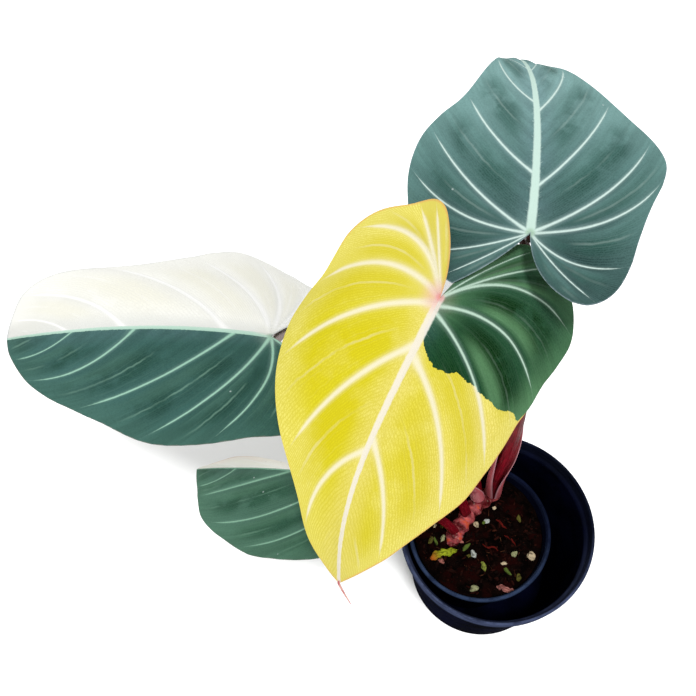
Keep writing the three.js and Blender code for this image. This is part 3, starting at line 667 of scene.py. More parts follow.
def makeSoil():
    middle = np.array([innerPot["x"], innerPot["y"]])
    height = innerPot["height"] - innerPot["lip"]
    slope = (innerPot["bodyTopRadius"] - innerPot["footRadius"]) / height
    spare = innerPot["wall"] + soil["gap"]
    wallAt = lambda z: innerPot["footRadius"] + (z - innerPot["bottom"]) * slope - spare
    floor = innerPot["bottom"] + innerPot["floorTop"] + soil["foot"]
    edge = wallAt(soil["level"] - soil["fall"] - 2)
    angle, share = fullTurn(soil["sides"]), np.linspace(1, 0, soil["rings"])[:, None]
    ring = lambda radius: (middle[0] + radius * np.cos(angle), middle[1] + radius * np.sin(angle))
    x, y = ring(edge * share)
    flatEdge = ease(1 - share, 0, soil["flatEdge"])
    top = vectorsOf(x, y, soilHeight(x, y) + soilRelief(x, y) * flatEdge)
    rows = [vectorsOf(*ring(0), floor), vectorsOf(*ring(wallAt(floor)), floor), top]
    mound = gridShape(np.concatenate(rows), wrap=True)
    fit(makePiece("pottingSoil", mound, soilMaterial()), "soil", "soil")

    # draw gives a random share, within a value inside a span, spot a place at some distance from
    # the pot's middle, and lying a place on the soil
    draw = np.random.default_rng(soil["seed"]).random
    within = lambda key, power=1: soil[key][0] + soil[key][1] * draw() ** power
    spot = lambda turn, out: middle + (out * math.cos(turn), out * math.sin(turn))
    lying = lambda x, y, above: (x, y, onSoil(x, y) + above)
    small, fine = sphereOf(1), sphereOf(3)
    darkest, reddest = (np.array(tone(*colour)) for colour in soil["crumbColours"])
    crumbs = []
    for k in range(soil["crumbs"]):
        turn, out = draw() * 2 * np.pi, math.sqrt(draw()) * (edge - soil["crumbClear"])
        radius = within("crumbSpan", 3)
        dark = draw()
        colour = darkest * (1 - dark) + reddest * dark ** 3
        crumbs.append(lump(small, radius, 1 + 1.2 * draw(), turn * 7, draw(),
                           lying(*spot(turn, out), 0.1 * radius), k, colour))
    barkPerlite = bitMaterial()
    fit(lumpPiece("soilCrumbs", crumbs, barkPerlite), "soil")

    grains = []
    for k, (x, y, radius, longer, colour) in enumerate(bits):
        grains.append(lump(fine, radius * soil["bitShrink"], longer, 2.2 * k, 0.3 * math.sin(k),
                           lying(x, y, 0.3 * radius), 200 + k, tone(*ground[colour])))
    for k in range(soil["strays"]):
        turn, out = math.radians(within("strayArc")), edge * within("strayOut")
        radius = within("straySpan")
        colour = ground[soil["strayColours"][k % len(soil["strayColours"])]]
        grains.append(lump(fine, radius, 1 + 0.5 * draw(), turn * 9, 0.4,
                           lying(*spot(turn, out), 0.25 * radius), 300 + k, tone(*colour)))
    fit(lumpPiece("perliteAndBark", grains, barkPerlite), "soil")

    # a fibre runs straight on by its reach and aside by its bend times the square of the way
    threads = []
    for k in range(soil["fibres"]):
        x, y = spot(draw() * 2 * np.pi, math.sqrt(draw()) * (edge - soil["fibreClear"]))
        heading, reach, bend = draw() * 6.3, within("fibreReach"), 2 * draw() - 1
        c, s, way = math.cos(heading), math.sin(heading), np.array([0, 0.35, 0.7, 1])
        x = x + reach * way * c - bend * way ** 2 * s
        y = y + reach * way * s + bend * way ** 2 * c
        path = smoothPath(np.stack(lying(x, y, 0.25 + 0.5 * np.sin(np.pi * way)), 1), 9)
        radiusAt = lambda s, angle: soil["fibreRadius"] + 0 * s * angle
        threads.append(tube(path, (0, 0, 1), 5, radiusAt))
    fit(makePiece("rootFibres", joinShapes(threads), fibreMaterial()), "soil")

    scraps = joinShapes([scrapShape(*one) for one in litter])
    fit(makePiece("barkAndLeafScraps", scraps, scrapMaterial()), "soil")


makeSoil()
print("soil")


# leaves: heading is the way the tip points and slope how far it falls, in degrees; droop, sweep
# and twist bend the midrib down, sideways and round. Each side's veins hold their start along the
# midrib, their bearing at the margin and their bow; margin holds (bearing from the tip in degrees,
# reach from the joint), from the lobe to the tip.
blades = {
    "back": dict(
        joint=(4.9, 110.2, 352.8), length=166, halfWidth=81, lobeLength=52, heading=77.1,
        slope=-12.1, roll=-8, droop=67.5, droopPower=2.5, sweep=13.2, sweepPower=1, twist=23.5,
        right=dict(fold=-4, curl=18, lobeDrop=0.25, sinusBow=-0.31, margin=[
            (144, 47), (136, 54), (122, 59), (103, 60), (90, 61), (78, 66), (69, 74), (62, 85),
            (55, 95), (46, 101), (34, 105), (24, 112), (16, 123), (8, 143), (0, 166),
        ], veins=[
            (0, 132, -0.12), (0, 104, -0.33), (0, 60, -0.27), (0, 45, -0.18), (29, 26, -0.11),
            (83, 10, -0.15), (125, 4, -0.12),
        ]),
        left=dict(fold=-4, curl=18, lobeDrop=0.07, sinusBow=-0.1, margin=[
            (130, 54), (119, 59), (106, 66), (92, 73), (78, 77), (66, 84), (56, 90), (46, 96),
            (36, 100), (26, 104), (18, 115), (10, 134), (0, 166),
        ], veins=[
            (0, 122, -0.06), (0, 103, -0.12), (0, 61, -0.27), (0, 42, -0.17), (38, 24, -0.16),
            (91, 8, -0.27), (128, 4, -0.15),
        ]),
    ),
    "front": dict(
        joint=(-49.6, 79.3, 336.5), length=176, halfWidth=93, lobeLength=61, heading=240, slope=9,
        roll=-16, droop=16.5, droopPower=1, sweep=34, sweepPower=3, twist=-3,
        right=dict(fold=1, curl=46, lobeDrop=-0.35, sinusBow=-0.14, margin=[
            (160, 40), (155, 52), (148, 58), (135, 60), (118, 68), (104, 71), (90, 71), (79, 74),
            (69, 82), (58, 92), (46, 101), (34, 110), (25, 118), (18, 126), (12, 137), (7, 153),
            (3, 165), (0, 176),
        ], veins=[
            (0, 149, -0.04), (0, 140, -0.07), (0, 105, -0.48), (0, 73, -0.42), (4, 44, -0.2),
            (32, 20, -0.12), (99, 8, -0.26),
        ]),
        left=dict(fold=9, curl=24, lobeDrop=0, sinusBow=-0.09, margin=[
            (157, 54), (150, 70), (136, 87), (121, 99), (112, 102), (105, 102), (96, 97), (86, 93),
            (75, 95), (66, 97), (57, 103), (48, 111), (40, 120), (32, 132), (24, 143), (17, 155),
            (10, 167), (4, 173), (0, 176),
        ], veins=[
            (0, 145, -0.07), (0, 135, -0.08), (0, 108, -0.36), (6, 78, -0.36), (9, 44, -0.22),
            (38, 24, -0.25), (91, 8, -0.23),
        ]),
    ),
    "left": dict(
        joint=(-157, 103, 258), length=182, halfWidth=98, lobeLength=65, heading=171, slope=-7,
        roll=20, droop=16, droopPower=1, sweep=11, sweepPower=1, twist=-31,
        right=dict(fold=2, curl=18, lobeDrop=0.1, sinusBow=0.17, margin=[
            (142, 70), (125, 78), (104, 81), (89, 95), (73, 106), (60, 104), (50, 103), (36, 110),
            (26, 127), (18, 157), (12, 173), (5, 180), (0, 182),
        ], veins=[
            (0, 126, 0.06), (0, 104, -0.12), (0, 76, -0.22), (0, 51, -0.24), (30, 24, -0.22),
            (100, 10, -0.26), (139, 4, -0.2),
        ]),
        left=dict(fold=-4, curl=11, lobeDrop=0.1, sinusBow=0, margin=[
            (150, 68), (138, 76), (120, 84), (102, 87), (86, 92), (68, 101), (54, 111), (35, 126),
            (25, 141), (17, 158), (11, 170), (4, 180), (0, 182),
        ], veins=[
            (0, 140, -0.08), (0, 108, -0.35), (0, 73, -0.33), (0, 47, -0.28), (24, 24, -0.24),
            (92, 11, -0.33), (135, 5, -0.23),
        ]),
    ),
    "low": dict(
        joint=(-97, 22, 185), length=148, halfWidth=78, lobeLength=52, heading=163.2, slope=5.4,
        roll=31, droop=31.5, droopPower=1, sweep=-8, sweepPower=1, twist=-28,
        right=dict(fold=45, curl=9, lobeDrop=-0.2, sinusBow=-0.15, margin=[
            (148, 36), (135, 40), (120, 44), (103, 47), (88, 50), (72, 57), (58, 68), (46, 80),
            (36, 91), (28, 99), (23, 113), (18, 128), (13, 141), (9, 147), (4, 149), (0, 148),
        ], veins=[
            (0, 138, -0.08), (0, 108, -0.35), (0, 75, -0.3), (5, 45, -0.35), (14, 24, -0.26),
            (55, 13, -0.15), (105, 6, -0.2),
        ]),
        left=dict(fold=2, curl=8, lobeDrop=0.1, sinusBow=-0.1, margin=[
            (148, 42), (135, 47), (120, 53), (103, 61), (90, 69), (79, 76), (59, 87), (49, 95),
            (40, 102), (32, 110), (25, 120), (18, 130), (11, 136), (5, 143), (0, 148),
        ], veins=[
            (0, 138, -0.08), (0, 106, -0.35), (0, 75, -0.3), (5, 39, -0.45), (14, 20, -0.32),
            (55, 10, -0.08), (105, 6, -0.2),
        ]),
    ),
}
leafForm = dict(
    stations=48, raysPerVein=14, steps=80, stepPower=1.4, outline=(300, 60), thickness=0.8,
    thinEdge=1.6, pillow=1.3, pillowSoft=(0.004, 0.063), quilt=0.2, quiltSoft=(0.01, 0.1),
    crowded=(1, 12), wave=1.6, waveTurn=2.3, uneven=0.3, unevenSize=17, unevenSeed=11,
    midribRise=0.3, midribReach=1.9, midribLoss=0.85, ribDepth=1.5, veinDepth=0.8, veinReach=1.1,
    veinLoss=0.6, veinEnd=(0.78, 0.97), veinEndLoss=0.9,
)
sideSigns = {"right": 1, "left": -1}


# vectors turned about an axis: v cos a + (axis x v) sin a + axis (axis . v) (1 - cos a)
def turnAbout(vectors, axis, degrees):
    c, s = math.cos(math.radians(degrees)), math.sin(math.radians(degrees))
    return vectors * c + np.cross(axis, vectors) * s + axis * (vectors @ axis)[:, None] * (1 - c)


# stations along a midrib: the place moves on by a step, then the directions along, across and up
# turn by their share of the droop, sweep and twist; droop and sweep grow with a power of the way
def midribStations(blade):
    heading, slope = math.radians(blade["heading"]), math.radians(blade["slope"])
    level = np.array([math.cos(heading), math.sin(heading), 0])
    along = level * math.cos(slope) - (0, 0, math.sin(slope))
    across = turnAbout(np.array([[level[1], -level[0], 0]]), along, blade["roll"])[0]
    axes = np.array([along, across, np.cross(across, along)])
    count = leafForm["stations"]
    where, places, allAxes = np.array(blade["joint"], float), [], []
    for i in range(count + 1):
        places.append(where)
        allAxes.append(axes)
        fall, swing = (((i + 1) / count) ** blade[p] - (i / count) ** blade[p]
                       for p in ("droopPower", "sweepPower"))
        where = where + axes[0] * blade["length"] / count
        for axis, degrees in zip(axes[[1, 2, 0]], (
                -blade["droop"] * fall, blade["sweep"] * swing, blade["twist"] / count)):
            axes = turnAbout(axes, axis, degrees)
    return np.array(places), np.array(allAxes)


# a smooth curve through (x, y) pairs: cubic pieces whose slopes are those of the lines between
# each pair's neighbours
def throughPairs(pairs, x):
    p = np.array(sorted(pairs), float)
    ends = np.clip(np.arange(len(p))[:, None] + (-1, 1), 0, len(p) - 1)
    slopes = (p[ends[:, 1], 1] - p[ends[:, 0], 1]) / (p[ends[:, 1], 0] - p[ends[:, 0], 0])
    i = np.clip(np.searchsorted(p[:, 0], x, side="right") - 1, 0, len(p) - 2)
    h = p[i + 1, 0] - p[i, 0]
    t = (x - p[i, 0]) / h
    return ((2 * t ** 3 - 3 * t ** 2 + 1) * p[i, 1] + (t ** 3 - 2 * t ** 2 + t) * h * slopes[i]
            + (3 * t ** 2 - 2 * t ** 3) * p[i + 1, 1] + (t ** 3 - t ** 2) * h * slopes[i + 1])


# a side's rays as (start, bearing, bow): the sinus edge, the veins and the tip
def raysOf(blade, key):
    side = blade[key]
    sinus, tip = (0, side["margin"][0][0], side["sinusBow"]), (blade["length"], 0, 0)
    return np.array([sinus, *side["veins"], tip], float)


# flat places on one side of a leaf. A ray r leaves the midrib at its start and reaches the margin
# at its bearing, as a quadratic curve whose middle stands off the chord by bow times its length
def flatSide(blade, key, r, v):
    rays = raysOf(blade, key)
    start, bearing, bow = (np.interp(r, np.arange(len(rays)), column) for column in rays.T)
    reach = throughPairs(blade[key]["margin"], bearing)
    endX, endY = reach * np.sin(np.radians(bearing)), reach * np.cos(np.radians(bearing))
    middleX, middleY = endX / 2 - (endY - start) * bow, start + (endY - start) / 2 + endX * bow
    x = 2 * v * (1 - v) * middleX + v ** 2 * endX
    y = (1 - v) ** 2 * start + 2 * v * (1 - v) * middleY + v ** 2 * endY
    return x, y


# the rays that a side's rows follow. Those that start at the joint are evenly spread; the others
# start where those of the two sides would, taken together, so that both meet along the midrib.
def rowsOf(blade, side):
    perVein = leafForm["raysPerVein"]
    fans, starts = {}, []
    for key in sideSigns:
        rays = raysOf(blade, key)
        fans[key] = int(np.flatnonzero(rays[:, 0] == 0).max())
        knots = np.arange(fans[key], len(rays))
        fine = np.linspace(knots[0], knots[-1], perVein * (len(knots) - 1) + 1)
        starts.append(np.interp(fine, knots, rays[fans[key]:, 0]))
    starts = np.unique(np.round(np.concatenate(starts), 2))
    fan, rays = fans[side], raysOf(blade, side)
    onward = np.interp(starts, rays[fan:, 0], np.arange(fan, len(rays)))
    return np.concatenate([np.linspace(0, fan, fan * perVein, endpoint=False), onward])


# a flat place in space: it is carried by the midrib's frame, folded up or down from the midrib and
# curled on outwards along an arc, and behind the joint the lobes drop with the square of the way
def leafPoints(blade, key, x, y, lift, stations, foldFrom=4):
    (places, axes), side, count = stations, blade[key], leafForm["stations"]
    q = np.clip(y / blade["length"], 0, 1) * count
    i = np.minimum(q.astype(int), count - 1)
    f = (q - i)[..., None]
    between = lambda values: values[i] * (1 - f) + values[i + 1] * f
    along, across, up = (between(axes[:, k]) for k in range(3))
    fold, rate = math.radians(side["fold"]), math.radians(side["curl"]) / blade["halfWidth"]
    angle = fold + rate * x
    lean = angle * np.minimum(1, x / foldFrom)
    behind = np.minimum(y, 0)
    out = sideSigns[key] * ((np.sin(angle) - math.sin(fold)) / rate + lift * np.sin(lean))
    drop = side["lobeDrop"] * behind ** 2 / blade["lobeLength"]
    height = (np.cos(angle) - math.cos(fold)) / rate - drop + lift * np.cos(lean)
    return (between(places) + along * behind[..., None] + across * out[..., None]
            + up * height[..., None])


# how far flat places on one side lie from the leaf's outline: its margin and both sinus edges
def offMargin(blade, x, y):
    marginCount, sinusCount = leafForm["outline"]
    squares = []
    for key, sign in sideSigns.items():
        alongMargin = np.linspace(0, len(blade[key]["veins"]) + 1, marginCount)
        for r, v in ((alongMargin, 1), (0, np.linspace(0, 1, sinusCount))):
            edgeX, edgeY = flatSide(blade, key, r, v)
            offX, offY = x[..., None] - sign * edgeX, y[..., None] - edgeY
            squares.append((offX ** 2 + offY ** 2).min(-1))
    return np.sqrt(np.min(squares, axis=0))


# One side of a leaf as two grids, top and underside, and the strips that close the margin and the
# sinus. The top swells between veins by pillow * |sin(pi r)| * sin(pi v), again at half that
# spacing, and less where the veins crowd; it waves towards the margin, and the midrib stands
# proud. The underside carries ribs, each a bell curve of the distance to its vein. "ray" holds
# the ray, the share of its length and the spacing of the rays, "paint" how far inside the green,
# how far from the margin and how wide the vein, and "flat" the flat place and 1 underneath.
def leafSide(blade, name, key, stations):
    form, sign = leafForm, sideSigns[key]
    last = len(blade[key]["veins"]) + 1
    rows = rowsOf(blade, key)[:, None]
    steps = (np.linspace(0, 1, form["steps"] + 1) ** form["stepPower"])[None, :]
    x, y = flatSide(blade, key, rows, steps)
    r, v = np.broadcast_arrays(rows, steps)

    alongX, alongY = (np.gradient(part, steps[0], axis=1) for part in (x, y))
    nearby = 0.01
    ahead, behind = (np.clip(rows + d, 0, last) for d in (nearby, -nearby))
    overX, overY = np.subtract(*(flatSide(blade, key, row, steps) for row in (ahead, behind)))
    crossed = np.abs(overX * alongY - overY * alongX) / (ahead - behind)
    spacing = crossed / np.maximum(np.hypot(alongX, alongY), 1e-6)
    nearest = np.round(r)
    away = np.abs(r - nearest) * spacing
    isVein = (nearest > 0.5) & (nearest < last - 0.5)
    widths = np.array([0, *blade["look"]["veinWidths"], 0])
    endLoss = 1 - form["veinEndLoss"] * ease(v, *form["veinEnd"])
    width = widths[nearest.astype(int)] * (1 - form["veinLoss"] * v) * endLoss
    margin = offMargin(blade, sign * x, y)

    # |sin| of so many half turns from vein to vein, its sharp foot rounded off
    swelling = lambda turns, soft, foot: np.sqrt(np.sin(turns * np.pi * r) ** 2 + soft) - foot
    fade = np.sin(np.pi * v) * ease(spacing, *form["crowded"])
    valley, half = swelling(1, *form["pillowSoft"]), swelling(2, *form["quiltSoft"])
    offMidrib = ease(x, 0, 6)
    taper = np.clip(1 - form["midribLoss"] * y / blade["length"], 0.1, 1)
    rib = np.exp(-(x / form["midribReach"]) ** 2) * taper * ease(y, -5, 1)
    vein = np.exp(-(away / form["veinReach"]) ** 2) * isVein * (1 - v) ** 0.5 * ease(x, 0, 4)
    lift = (form["pillow"] * valley * fade + form["quilt"] * half * fade * offMidrib
            + form["wave"] * v ** 3 * np.sin(form["waveTurn"] * r + 1) * np.sin(np.pi * r / last)
            + form["uneven"] * offMidrib
            * wander(sign * x, y, form["unevenSize"], form["unevenSeed"])
            + form["midribRise"] * rib)
    depth = (form["thickness"] * (1 - 0.5 * (1 - ease(margin, 0, form["thinEdge"])))
             + (form["ribDepth"] + form["midribRise"]) * rib + form["veinDepth"] * vein)

    grids = [leafPoints(blade, key, x, y, level, stations) for level in (lift, lift - depth)]
    flip = sign < 0
    maps = {"ray": vectorsOf(r, v, spacing),
            "paint": vectorsOf(greenEdge(name, sign, x, y), margin, width)}
    flats = [vectorsOf(sign * x, y, under) for under in (0, 1)]
    shapes = [gridShape(grid, {**maps, "flat": flat}, flip=over)
              for grid, flat, over in zip(grids, flats, (flip, not flip))]
    for line, over in ((np.s_[:, -1], not flip), (np.s_[0, :], flip)):
        edge = {key: values[line][:, None] for key, values in {**maps, "flat": flats[0]}.items()}
        shapes.append(gridShape(np.stack([grid[line] for grid in grids], 1), edge, flip=over))
    return joinShapes(shapes)


# the front leaf's left half is green below this line, (distance from the midrib, towards the tip)
sectorLine = [
    (0, 22), (2.5, 28), (4.4, 30.5), (10.1, 36), (16.7, 38.9), (21.7, 37.4), (25.4, 37.4),
    (28.9, 34), (34.4, 34.3), (38.9, 35.2), (44.4, 34.8), (48.7, 36.6), (54.1, 37.1), (60.2, 37.2),
    (66.3, 39.6), (74.4, 35.9), (80.2, 34.1), (86.3, 36.8), (89, 36.1), (89.9, 29.5), (93.2, 26.2),
    (110, 22),
]


# how far inside the green a place lies, in millimetres; below 0 it is in the pale part. The back
# leaf is all green, and the others are green on their left half, the front one in part.
def greenEdge(name, sign, x, y, reach=20):
    if name == "front" and sign < 0:
        return np.clip(np.interp(x, *np.array(sectorLine).T) - y, -reach, reach)
    isGreen = name == "back" or (name != "front" and sign < 0)
    return np.full(x.shape, reach if isGreen else -reach)


# A value for each leaf: back, front, left and low. Vein half-widths are in millimetres. The green
# goes from lobe over middle to crown along the leaf, on the back leaf as painted light: dark lobes
# by the joint are painted shade and the pale crown is painted sheen. The pale part goes from pale
# on the left half to strong on the right one. Colours are screen values.
looks = dict(
    veinWidths=[(0.5, 0.6, 0.85, 0.9, 0.85, 0.7, 0.4), (0.5, 0.75, 1, 1.05, 1, 0.95, 0.75),
                (0.55, 0.8, 1, 1.1, 1.05, 0.9, 0.5), (0.5, 0.7, 0.85, 0.9, 0.95, 0.9, 0.6)],
    midrib=[(2.8, 1.15), (2.7, 0.9), (2.1, 0.8), (1.5, 0.6)], paleVein=[1, 1.55, 1.2, 1.1],
    lobe=[(8, 36, 34), (50, 94, 68), (56, 96, 88), (74, 112, 96)],
    middle=[(90, 128, 124), (4, 60, 26), (64, 105, 99), (86, 126, 108)],
    crown=[(158, 200, 198), (24, 78, 32), (72, 113, 109), (96, 138, 120)],
    # edge: the lighter green of the margins, partly painted light, as on the front leaf it lightens
    # the shade the back leaf casts near its margin
    edge=[(124, 168, 163), (120, 174, 124), (86, 128, 113), (104, 152, 124)],
    edgeShare=[0.4, 0.7, 0.45, 0.4], litShare=[0.3, 0.55, 0.45, 0.45],
    core=[(44, 86, 76), (2, 46, 6), (36, 74, 64), (44, 88, 68)], coreShare=[0.72, 0.95, 0.8, 0.8],
    # painted velvet sheen near the veins and midrib: its colour, then how strongly it lies
    veinSheen=[(116, 146, 154), (62, 100, 94), (98, 130, 134), (102, 138, 128)],
    veinSheenShare=[0.5, 0.7, 0.55, 0.5],
    vein=[(224, 248, 240), (206, 236, 216), (174, 222, 198), (160, 210, 182)],
    ribColour=[(214, 242, 230), (250, 243, 230), (196, 232, 214), (160, 210, 184)],
    faint=[0.13, 0.08, 0.26, 0.24], paleFaint=[0.2, 0.28, 0.3, 0.3],
    paleReach=[0.3, 0.28, 0.65, 0.6], fine=[0.02, 0.03, 0.04, 0.05],
    netShare=[0.15, 0.07, 0.18, 0.18],
    rim=[(150, 168, 176), (130, 150, 120), (150, 150, 136), (140, 150, 136)],
    rimShare=[1, 0.1, 0.7, 1],
    # pale colours above 255 lighten the low leaf's cream as painted light against the shade the
    # left leaf casts on it; the left leaf's paleEdge, lighter than its pale, is painted light where
    # that leaf turns away from the light
    pale=[(240, 240, 220), (256, 241, 130), (258, 258, 252), (320, 319, 310)],
    strong=[(240, 240, 220), (231, 219, 40), (258, 258, 249), (320, 319, 310)],
    paleDeep=[(230, 230, 200), (228, 214, 26), (260, 258, 238), (314, 313, 296)],
    paleEdge=[(245, 245, 230), (256, 245, 136), (272, 272, 266), (318, 304, 290)],
    # paleHaze: a painted grey shade beside the veins and midrib of the cream leaves; on the yellow
    # leaf a paler lemon
    paleHaze=[(240, 240, 220), (246, 232, 130), (230, 233, 230), (300, 300, 292)],
    paleVeinColour=[(252, 250, 240), (254, 247, 216), (268, 268, 266), (316, 316, 310)],
    joint=[(186, 214, 198), (243, 186, 178), (238, 240, 230), (250, 236, 220)],
    paleNet=[(250, 250, 240), (206, 190, 30), (244, 243, 236), (298, 296, 286)],
    spot=[(150, 186, 150), (238, 128, 138), (140, 176, 150), (150, 120, 110)],
    paleRim=[(240, 220, 210), (240, 170, 110), (196, 202, 208), (262, 196, 168)],
    specks=[0.5, 0.1, 0.25, 1.6],
    under=[(128, 160, 138), (96, 132, 98), (110, 144, 120), (110, 144, 120)],
    underPale=[(220, 220, 190), (214, 206, 92), (226, 224, 200), (226, 220, 200)],
)
for i, blade in enumerate(blades.values()):
    blade["look"] = {key: values[i] for key, values in looks.items()}


# Leaf surface. Main veins lie where the ray number is whole, fainter ones between them, and the
# midrib along x = 0. Green and pale parts each change with the way to the veins, to the margin and
# to the tip, partly as painted light: a painted sheen near the veins, a painted highlight on one
# side between veins, painted shade in the pleats and beside the cream veins, lighter margins, and
# on the back leaf painted shade at the lobes and painted sheen at the crown. A fine net follows the
# rays, and a velvet grain covers the top.
def leafMaterial(name, look, length, wide):
    startMaterial(name)
    r, v, spacing = attributeParts("ray")
    green, margin, width = attributeParts("paint")
    x, y, under = attributeParts("flat")
    grain, blotch = noise(place, 0.0011, 2, 0.6), noise(place, 0.018, 3, 0.55)
    wobble, ragged = minus(noise(place, 0.006), 0.5), minus(noise(place, 0.0022, 3, 0.6), 0.5)
    sector = span(plus(green, times(ragged, 4)), -0.2, 0.2)
    offMidrib = calc("ABSOLUTE", x)
    either = lambda inPale, inGreen: span(sector, 0, 1, inPale, inGreen, "LINEAR")

    # main veins: soft lines, stronger where they leave the midrib
    offRay = offWhole(r)
    away = times(offRay, spacing)
    broad, fork = either(look["paleVein"], 1), span(v, 0, 0.12, 1.5, 1)
    uneven = plus(away, times(ragged, 0.35))
    ratio = calc("DIVIDE", uneven, most(times(width, broad, fork), 0.01))
    fadeOut = span(v, 0.8, 0.97, 1, 0.15)
    mainVein = times(near(ratio, 0.1, either(2.2, 1.6)), fadeOut)
    glow = times(near(ratio, 0.8, 4), fadeOut)
    ribHalf = span(y, 0, length, *look["midrib"], "LINEAR")
    ribRatio = calc("DIVIDE", plus(offMidrib, times(ragged, 0.9)), ribHalf)
    midrib = times(near(ribRatio, 0.7, 1.25), span(y, -4, 0))
    veins = most(mainVein, midrib)

    # short hairs of pale tissue that stand off the midrib
    combed = noise(combine(times(r, 0.11), times(v, 0.02)), 0.0016, 2, 0.6)
    nearRib = times(near(ribRatio, 0.8, 2.6), span(y, -6, 6))
    feather = times(nearRib, span(combed, 0.6, 0.72, 0, 0.5), sector)

    # faint veins half way between the main ones, finer ones between those, and fine stripes
    def between(count, half):
        scaled = times(plus(r, times(wobble, 0.06)), count)
        distance = times(offWhole(scaled), calc("DIVIDE", spacing, count))
        return near(distance, half * 0.2, half)
    inner = times(span(v, 0.12, 0.4), span(v, 0.98, 0.75))
    patchy = span(noise(place, 0.03), 0.35, 0.6)
    second = times(between(2, 1.15), inner, patchy, either(look["paleFaint"], look["faint"]))
    third = times(between(5, 0.5), inner, patchy, look["fine"])
    faintVeins = most(second, third)
    # pleats: streaks along the rays, which the green below darkens as painted shade in the creases
    pleatShade = noise(combine(times(r, 5), times(v, 1.6)), 1, 3, 0.6)
    stripes = times(between(22, 0.42), span(v, 0.02, 0.15))
    netAt = combine(times(r, 26), times(v, 62))
    net = near(cells(netAt, 1, "DISTANCE_TO_EDGE")["Distance"], 0, 0.16)
    fabric = most(stripes, net)

    middle = times(span(offRay, 0.1, 0.38), span(v, 0.08, 0.35), span(v, 1, 0.7))
    nearVein = times(near(away, 0.3, 4), span(v, 0.95, 0.1, 0.15, 1))
    nearMidrib = times(near(offMidrib, 2, 16), span(y, -8, 8))
    nearEdge = near(margin, 0, 24)
    fromJoint = calc("SQRT", plus(times(x, x), times(y, y)))
    across = calc("FRACT", r)
    # lit: a painted highlight on one side of each stretch between two veins
    lit = times(span(across, 0.5, 0.72), span(across, 0.94, 0.78), span(v, 0.15, 0.4),
                span(v, 0.95, 0.6))
    # where the painted velvet sheen lies: near the veins and the midrib
    veinSheenMask = most(nearVein, times(nearMidrib, 0.8))

    # from lobe to crown: on the back leaf, painted shade at the lobes and painted sheen at the
    # crown
    greenColour = layered(
        look["lobe"],
        (span(y, -0.25 * length, 0.35 * length), look["middle"]),
        (span(y, 0.2 * length, 0.8 * length), look["crown"]),
        (times(middle, span(blotch, 0.64, 0.44, 0.3, 1), look["coreShare"]), look["core"]),
        # painted highlight on one side between veins
        (times(lit, look["litShare"]), look["edge"]),
        # lighter towards the margin, partly painted light against the shade the back leaf casts on
        # the front leaf
        (times(nearEdge, span(y, -20, 30, 0.45, 1), look["edgeShare"]), look["edge"]),
        # painted velvet sheen near the veins and midrib
        (times(veinSheenMask, span(blotch, 0.35, 0.6, 0.4, 1), span(y, -25, 35, 0.5, 1),
               look["veinSheenShare"]), look["veinSheen"]))
    greenColour = layered(
        greenColour,
        # painted shade in the pleats
        (span(pleatShade, 0.35, 0.65, 0.42, 0), blend(0.5, greenColour, (10, 30, 24))),
        (times(fabric, look["netShare"]), look["edge"]),
        (times(glow, 0.12), look["vein"]))
    greenColour = layered(
        greenColour,
        (span(grain, 0.4, 0.75, 0, 0.22), blend(0.6, greenColour, (14, 34, 30))),
        (faintVeins, look["vein"]))

    paleColour = layered(
        look["pale"],
        (span(x, -0.75 * wide, 0.15 * wide), look["strong"]),
        (span(y, look["paleReach"] * length, -0.2 * length, 0, 0.8), look["paleEdge"]),
        (span(blotch, 0.45, 0.7, 0, 0.5), look["paleEdge"]),
        (times(middle, 0.6), look["paleDeep"]),
        (times(nearEdge, 0.7), look["paleEdge"]),
        # beside the veins and midrib: painted grey shade on the cream leaves, a paler lemon on the
        # yellow one
        (most(times(nearVein, 0.55), times(nearMidrib, 0.7)), look["paleHaze"]),
        (times(fabric, 0.45), look["paleNet"]),
        (times(glow, 0.2), look["paleVeinColour"]),
        (faintVeins, look["paleVeinColour"]))

    veinColour = blend(sector, look["paleVeinColour"], look["vein"])
    veinColour = blend(midrib, veinColour, look["ribColour"])
    lineAt = near(plus(margin, ragged), 0.2, either(1.7, 0.8))
    tinged = most(span(x, 20, -20, look["rimShare"], 1), span(y, 5, -20))
    dots = cells(place, 0.009)
    pick = calc("GREATER_THAN", dots["Color"], 1 - 0.35 * look["specks"])
    speck = times(near(dots["Distance"], 0.04, 0.1), pick)
    colour = layered(
        paleColour,
        (sector, greenColour),
        (times(most(veins, feather), either(0.88, 0.95)), veinColour),
        (times(near(fromJoint, 1, 15), either(0.75, 0.1)), look["joint"]),
        (times(near(fromJoint, 0.8, 4), 0.6), look["spot"]),
        (times(lineAt, tinged, 0.6), blend(sector, look["paleRim"], look["rim"])),
        (times(speck, 0.7), blend(sector, (120, 84, 40), (196, 212, 210))))

    underside = layered(
        look["underPale"],
        (sector, look["under"]),
        (span(blotch, 0.35, 0.7, 0, 0.35), look["edge"]),
        (times(stripes, 0.2), look["paleVeinColour"]),
        (most(veins, faintVeins), blend(0.35, look["paleVeinColour"], look["under"])),
        (span(fromJoint, 2, 22, 0.8, 0), (150, 84, 82)))
    relief = plus(times(grain, 0.5), times(stripes, -0.35))
    relief = plus(relief, plus(times(veins, 0.5), times(net, -0.3)))
    roughness = span(grain, 0.3, 0.7, 0.52, 0.64)
    return dress(blend(under, colour, underside), roughness, 1.07, relief, 0.00022, 0.7)


def makeLeaf(name):
    blade, title = blades[name], name.capitalize()
    stations = midribStations(blade)
    shape = joinShapes([leafSide(blade, name, key, stations) for key in sideSigns])
    skin = leafMaterial("leafSkin" + title, blade["look"], blade["length"], blade["halfWidth"])
    fit(makePiece("leaf" + title, shape, skin, sharp=50), "blade_" + name, "blade_" + name)
    return stations


leafStations = {name: makeLeaf(name) for name in blades}

